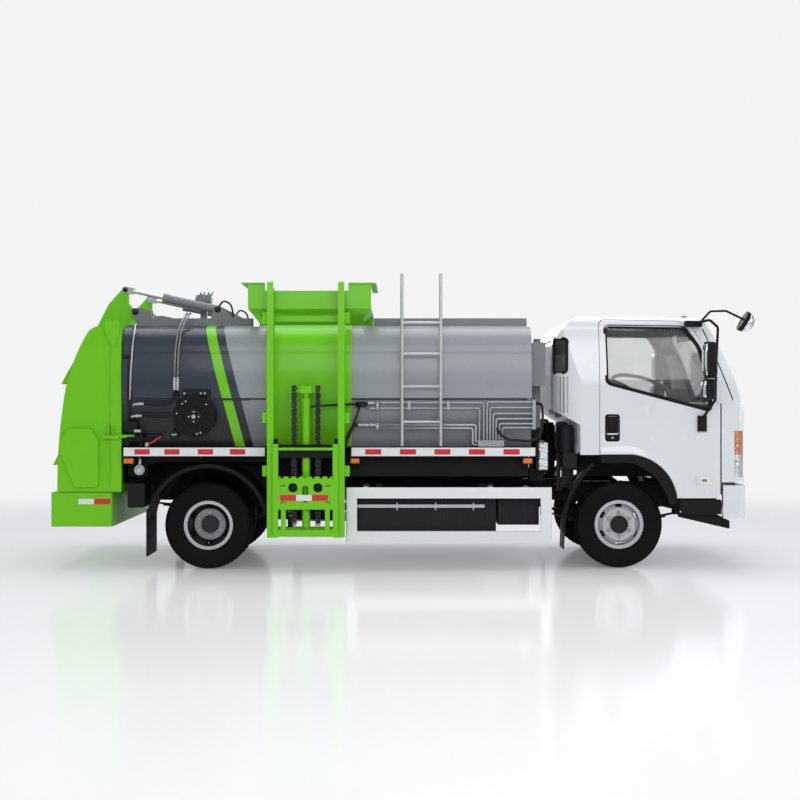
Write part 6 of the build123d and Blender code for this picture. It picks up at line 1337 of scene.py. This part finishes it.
half_turn = np.linspace(math.pi / 2, 3 * math.pi / 2, 7)
rear = PLATE_HALF * np.stack([np.cos(half_turn), np.sin(half_turn)], 1)
waist = np.array([[CHAIN_PITCH / 2, -0.7 * PLATE_HALF]])
figure_eight = np.concatenate([rear, waist, (CHAIN_PITCH, 0) - rear, waist * (1, -1)])
pins = chain_pins()
links, studs = [], []
for centre in (LIFT_X - CHAIN_X, LIFT_X + CHAIN_X):
    for row in range(7):
        x = centre + (row - 3) * PLATE_STEP
        leaf = plate(figure_eight, "yz", x - PLATE_THICK / 2, x + PLATE_THICK / 2)
        links.append(along_links(leaf, pins, np.arange(row % 2, len(pins) - 1, 2)))
    shank = [(0.0030, -0.0230), (0.0042, -0.0222), (0.0042, 0.0222), (0.0030, 0.0230)]
    stud = turned(shank, (centre, 0, 0), "x", 1, 10)
    studs.append(along_links(stud, pins, np.arange(len(pins) - 1)))
leaf_chains = lay_piece("leaf_chains", links, chain_metal, "sheave_head", smooth=False)
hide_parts("hoist_chains")
lay_piece("chain_studs", studs, pipe_metal, "sheave_head")
print(len(pins), "pins in each chain")

# %% [markdown]
# ## The lifter's tape, bolts and hoses
#
# The pick-up plate carries a red, white and red tape. The posts are clamped to the tank
# by bolted lugs. Two hoses come down behind the right-hand post to the cylinder's foot.
# A black rubber sheet hangs from the rail behind the lifter as painted shade: it stands for the dark shade
# behind the lifter.

# %% Tape on the pick-up plate
FRAME_FACE_Y = -1.287
tape_marks = [(-1.102, -0.957, red_tape), (-0.957, -0.816, white_tape), (-0.816, -0.671, red_tape)]
for number, (x0, x1, film) in enumerate(tape_marks):
    mark = block((x0, FRAME_FACE_Y - 0.0012, 0.653), (x1, FRAME_FACE_Y + 0.001, 0.707))
    lay_piece(f"plate_tape_{number}", mark, film, "tipping_frame", smooth=False)

# %% Clamp bolts and hoses to the lift cylinder
LUG_FACE_Y, LUG_OUT, LUG_BOLTS = -1.228, 0.371, (0.893, 0.943, 1.375, 1.424, 2.277, 2.327)
heads = [(LIFT_X + out, LUG_FACE_Y, z) for out in (-LUG_OUT, LUG_OUT) for z in LUG_BOLTS]
lay_piece("clamp_bolts", bolt_heads(heads, 0.0095), lime_paint)
valve_ports = ((-0.262, 1.534), (-0.352, 1.332), (-0.295, 1.332), (-0.245, 1.332))
fittings = [hose_end((x, -1.018, z), (-1, 0, 0)) for x, z in valve_ports]
fittings += [sweep([(-0.225, -1.014, z), (-0.330, -1.016, z)], 0.009) for z in (1.485, 1.534)]
for low, high in ((1.468, 1.552), (1.286, 1.352)):
    fittings.append(block((-0.246, -1.036, low), (-0.220, -0.996, high)))
for z, x in ((1.332, 0.672), (1.302, 0.645)):
    low = 1.148 + z - 1.302
    pipe = [(-0.232, -1.014, z), (x, -1.014, z), (x, -1.014, low), (0.694, -1.020, low)]
    fittings.append(hose(pipe, 0.024, 0.009, 12, 6))
for x, z in ((-1.034, 0.545), (-1.008, 0.545), (-1.022, 0.505)):
    fittings.append(hose_end((x, -1.118, z), (0, -1, 0.15), 0.009))
upper = [(-0.318, -1.022, 1.523), (-0.440, -1.030, 1.523), (-0.620, -1.070, 1.515), (-0.845, -1.100, 1.500),
         (-0.866, -1.156, 1.500)]
thick = [(-0.408, -1.018, 1.332), (-0.450, -1.022, 1.328), (-0.530, -1.085, 1.185), (-0.625, -1.108, 0.960),
         (-0.690, -1.108, 0.600), (-0.850, -1.108, 0.500), (-0.866, -1.150, 0.480)]
thin = [(-0.395, -1.030, 1.500), (-0.425, -1.034, 1.400), (-0.500, -1.060, 1.200), (-0.640, -1.094, 0.860),
        (-0.690, -1.094, 0.560), (-1.000, -1.094, 0.480), (-1.022, -1.104, 0.500)]
sleeve = block((-0.430, -1.046, 1.492), (-0.335, -0.998, 1.546))
runs = [hose(upper, 0.06, 0.0105), sleeve, hose(thick, 0.12, 0.0155), hose(thin, 0.12, 0.0095)]
lay_piece("lift_hoses", runs, hose_rubber)
lay_piece("lift_hose_ends", fittings, bare_metal)
valve = block((-1.048, -1.120, 0.400), (-0.996, -1.092, 0.566))
soften(lay_piece("lift_valve", valve, case_paint, smooth=False), 0.003)

# The shade flap, a sheet of painted shade, is two grids 6 mm apart with a slight wave that grows downwards.
SHADE_FLAP_TOP_Z = 1.058
u, v = grid((-1.150, -0.600), (0.468, SHADE_FLAP_TOP_Z), (23, 13))
front = np.stack([u, -1.076 + 0.003 * np.sin(u * 29) * (SHADE_FLAP_TOP_Z - v), v], -1)
lay_piece("shade_flap", slab(front, front + (0, 0.006, 0)), tyre_rubber)
print(len(heads), "clamp bolts,", len(runs), "lift hoses and a flap")

# %% The battery box's bright bar
bar = [block((-0.470, -0.9900, 0.568), (0.755, -0.9882, 0.597))]
bar += [block((x - 0.005, -0.9915, 0.545), (x + 0.005, -0.9890, 0.615)) for x in (-0.051, 0.304, 0.652)]
lay_piece("battery_bar", bar, bare_metal, smooth=False)

# %% [markdown]
# ## Tail trim and heat shield
#
# The tailgate's sump carries its own tape, and a pressed cover shields the cooler
# behind the cab from the hot pipes. The cover is thin sheet: its surface is a plane
# raised by crossed creases, sin(ax + bz) sin(cx - dz), as hand-formed foil is.

# %% Tape on the sump
for number, (x, film) in enumerate([((-2.983, -2.840), white_tape), ((-2.840, -2.689), red_tape)]):
    for name, side in (("right", -1), ("left", 1)):
        mark = side_block(side, x, (0.9955, 0.9985), (0.601, 0.650))
        lay_piece(f"sump_tape_{number}_{name}", mark, film, "tailgate", smooth=False)

# %% The crinkled heat shield
u, v = grid((1.256, 1.342), (0.912, 1.168), (21, 41))
rim_fade = np.clip(np.minimum.reduce([u - 1.256, 1.342 - u, v - 0.912, 1.168 - v]) / 0.012, 0, 1)
crease = 0.004 * np.sin(150 * u + 70 * v) * np.sin(90 * u - 130 * v) + 0.002 * np.sin(310 * v + 80 * u)
foil = finish_for("foil", (0.62, 0.63, 0.64), 0.1, (0.18, 0.3), metal=0.9, grain=0.0002, grain_scale=120,
                  slot="bare_aluminium")
lay_piece("heat_shield", backed(np.stack([u, -0.957 - rim_fade * (0.006 + crease), v], -1)), foil)
print("tape on the sump and a heat shield")

# %% [markdown]
# ## Padded seats
#
# A cushion is a box that has been blown up: the points where
# |u|^n + |v|^n + |w|^n = 1, stretched to its three sizes. A power of 4 to 6 keeps its
# corners full. Its sides pull in a little between the corners, where the cover is
# tightest. Sewn channels are grooves, each a narrow bell curve pressed into one face,
# and a welt follows the seam round the edge.


# %% Blown-up boxes with sewn channels
def pad_form(low, high, power, lean=0.0, grooves=(), steps=(220, 96)):
    """A pad between two corners. lean shifts X by lean for each metre of height. Each
    groove is (across, place, into): it lies at a place on axis across and is pressed into
    the face that looks along axis into."""
    low, high = np.asarray(low, float), np.asarray(high, float)
    a = angles(steps[0])
    b = np.linspace(-0.497 * math.pi, 0.497 * math.pi, steps[1])[:, None]
    way = np.stack([np.cos(b) * np.cos(a), np.cos(b) * np.sin(a), np.sin(b) + 0 * a], -1)
    unit = way / (np.abs(way) ** power).sum(-1, keepdims=True) ** (1 / power)
    unit[..., :2] *= 1 - 0.035 * (1 - unit[..., [1, 0]] ** 2) ** 2 * np.abs(unit[..., :2]) ** 3
    points = (low + high) / 2 + unit * (high - low) / 2
    for across, place, into in grooves:
        press = 0.009 * np.exp(-(((points[..., across] - place) / 0.008) ** 2))
        points[..., into] -= press * np.clip(unit[..., into] * 1.6 - 0.6, 0, 1)
    points[..., 0] += lean * (points[..., 2] - low[2])
    return points.reshape(-1, 3), ring_faces(steps[1], steps[0])


def welt(low, high, power, lean=0.0, level=0.0, axis=0):
    """A piped seam round a pad, level (-1 to 1) of the way along axis."""
    low, high = np.asarray(low, float), np.asarray(high, float)
    a = np.append(angles(72), 2 * math.pi)
    ring = np.stack([np.cos(a), np.sin(a)], 1)
    ring /= ((np.abs(ring) ** power).sum(1, keepdims=True) / (1 - level**power)) ** (1 / power)
    unit = np.full((73, 3), level)
    unit[:, [n for n in range(3) if n != axis]] = ring * 0.985
    path = (low + high) / 2 + unit * (high - low) / 2
    path[:, 0] += lean * (path[:, 2] - low[2])
    return sweep(path, 0.0045, 8)


# Each seat: its middle in Y, its half width and the places of its sewn channels.
SEATS = {
    "driver": (0.520, 0.250, (-0.125, 0.0, 0.125)),
    "mates": (-0.330, 0.430, (-0.30, -0.15, 0.0, 0.15, 0.30)),
}
welts, stalks, plinths = [], [], []
for who, (middle, half, channels) in SEATS.items():
    base = ((1.800, middle - half, 1.140), (2.268, middle + half, 1.292), 5.0)
    back = ((1.722, middle - half + 0.012, 1.262), (1.838, middle + half - 0.012, 1.886), 4.5, -0.060)
    head = ((1.682, middle - 0.130, 1.886), (1.758, middle + 0.130, 2.038), 3.6)
    base_grooves = [(1, middle + c, 2) for c in channels] + [(0, 2.150, 2)]
    back_grooves = [(1, middle + c, 0) for c in channels] + [(2, 1.800, 0)]
    for what, form in (
        ("base", pad_form(*base, grooves=base_grooves)),
        ("back", pad_form(*back, grooves=back_grooves, steps=(220, 128))),
        ("head", pad_form(*head, grooves=[(2, 1.962, 0)], steps=(96, 60))),
    ):
        pad = lay_piece(f"{who}_seat_{what}", form, seat_cloth, "cab")
        if (who, what) == ("driver", "base"):
            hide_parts("seats")
    welts += [welt(*base, level=0.62, axis=2), welt(*back, level=0.55), welt(*head, level=0.4)]
    for y in (middle - 0.055, middle + 0.055):
        stalks.append(sweep([(1.718, y, 1.840), (1.718, y, 1.930)], 0.006))
    plinths.append(block((1.830, middle - half + 0.030, 1.0963), (2.240, middle + half - 0.030, 1.150)))
lay_piece("seat_welts", welts, seal_rubber, "cab")
lay_piece("head_stalks", stalks, rod_chrome, "cab")
soften(lay_piece("seat_plinths", plinths, cabin_plastic, "cab", smooth=False), 0.008)
print(len(SEATS), "seats with bases, backs and headrests")

# %% [markdown]
# ## Pins of the tailgate's lifting gear
#
# Three pins on each side carry the tailgate: its hinge, the cylinder's foot and the
# fork on the horn. Each ends in a turned head with a keeper ring. The fork's head rides
# with the rod and the other two stay on the roof.

# %% Pin heads and the cylinders' feed hoses
HINGE_PIN, FOOT_PIN, FORK_PIN = (-2.534, 0.635, 2.398), (-1.751, 0.651, 2.419), (-2.633, 0.623, 2.607)
FEED = [(-1.600, 0.638, 2.352), (-1.625, 0.640, 2.470), (-1.700, 0.640, 2.506), (-1.742, 0.638, 2.442)]
PIN_HEAD = np.array([(0.030, -0.006), (0.030, 0.003), (0.024, 0.005), (0.024, 0.010), (0.018, 0.014)])


def both_sides(shape_at, *places):
    """A shape made at each place and at its mirror place, right side first."""
    return [shape_at(np.array(place) * (1, side, 1), side) for side in (-1, 1) for place in places]


fixed = both_sides(lambda place, side: turned(PIN_HEAD, place, "y", side, 28), HINGE_PIN, FOOT_PIN)
riding = both_sides(lambda place, side: turned(0.8 * PIN_HEAD, place, "y", side, 28), FORK_PIN)
feeds = both_sides(lambda place, side: hose(place, 0.07, 0.009, 10), FEED)
lay_piece("roof_pin_heads", fixed, chain_metal)
lay_piece("fork_pin_heads", riding, chain_metal, "tail_cylinder_rods")
lay_piece("cylinder_feeds", feeds, hose_rubber)
print(len(fixed) + len(riding), "pin heads on the lifting gear")
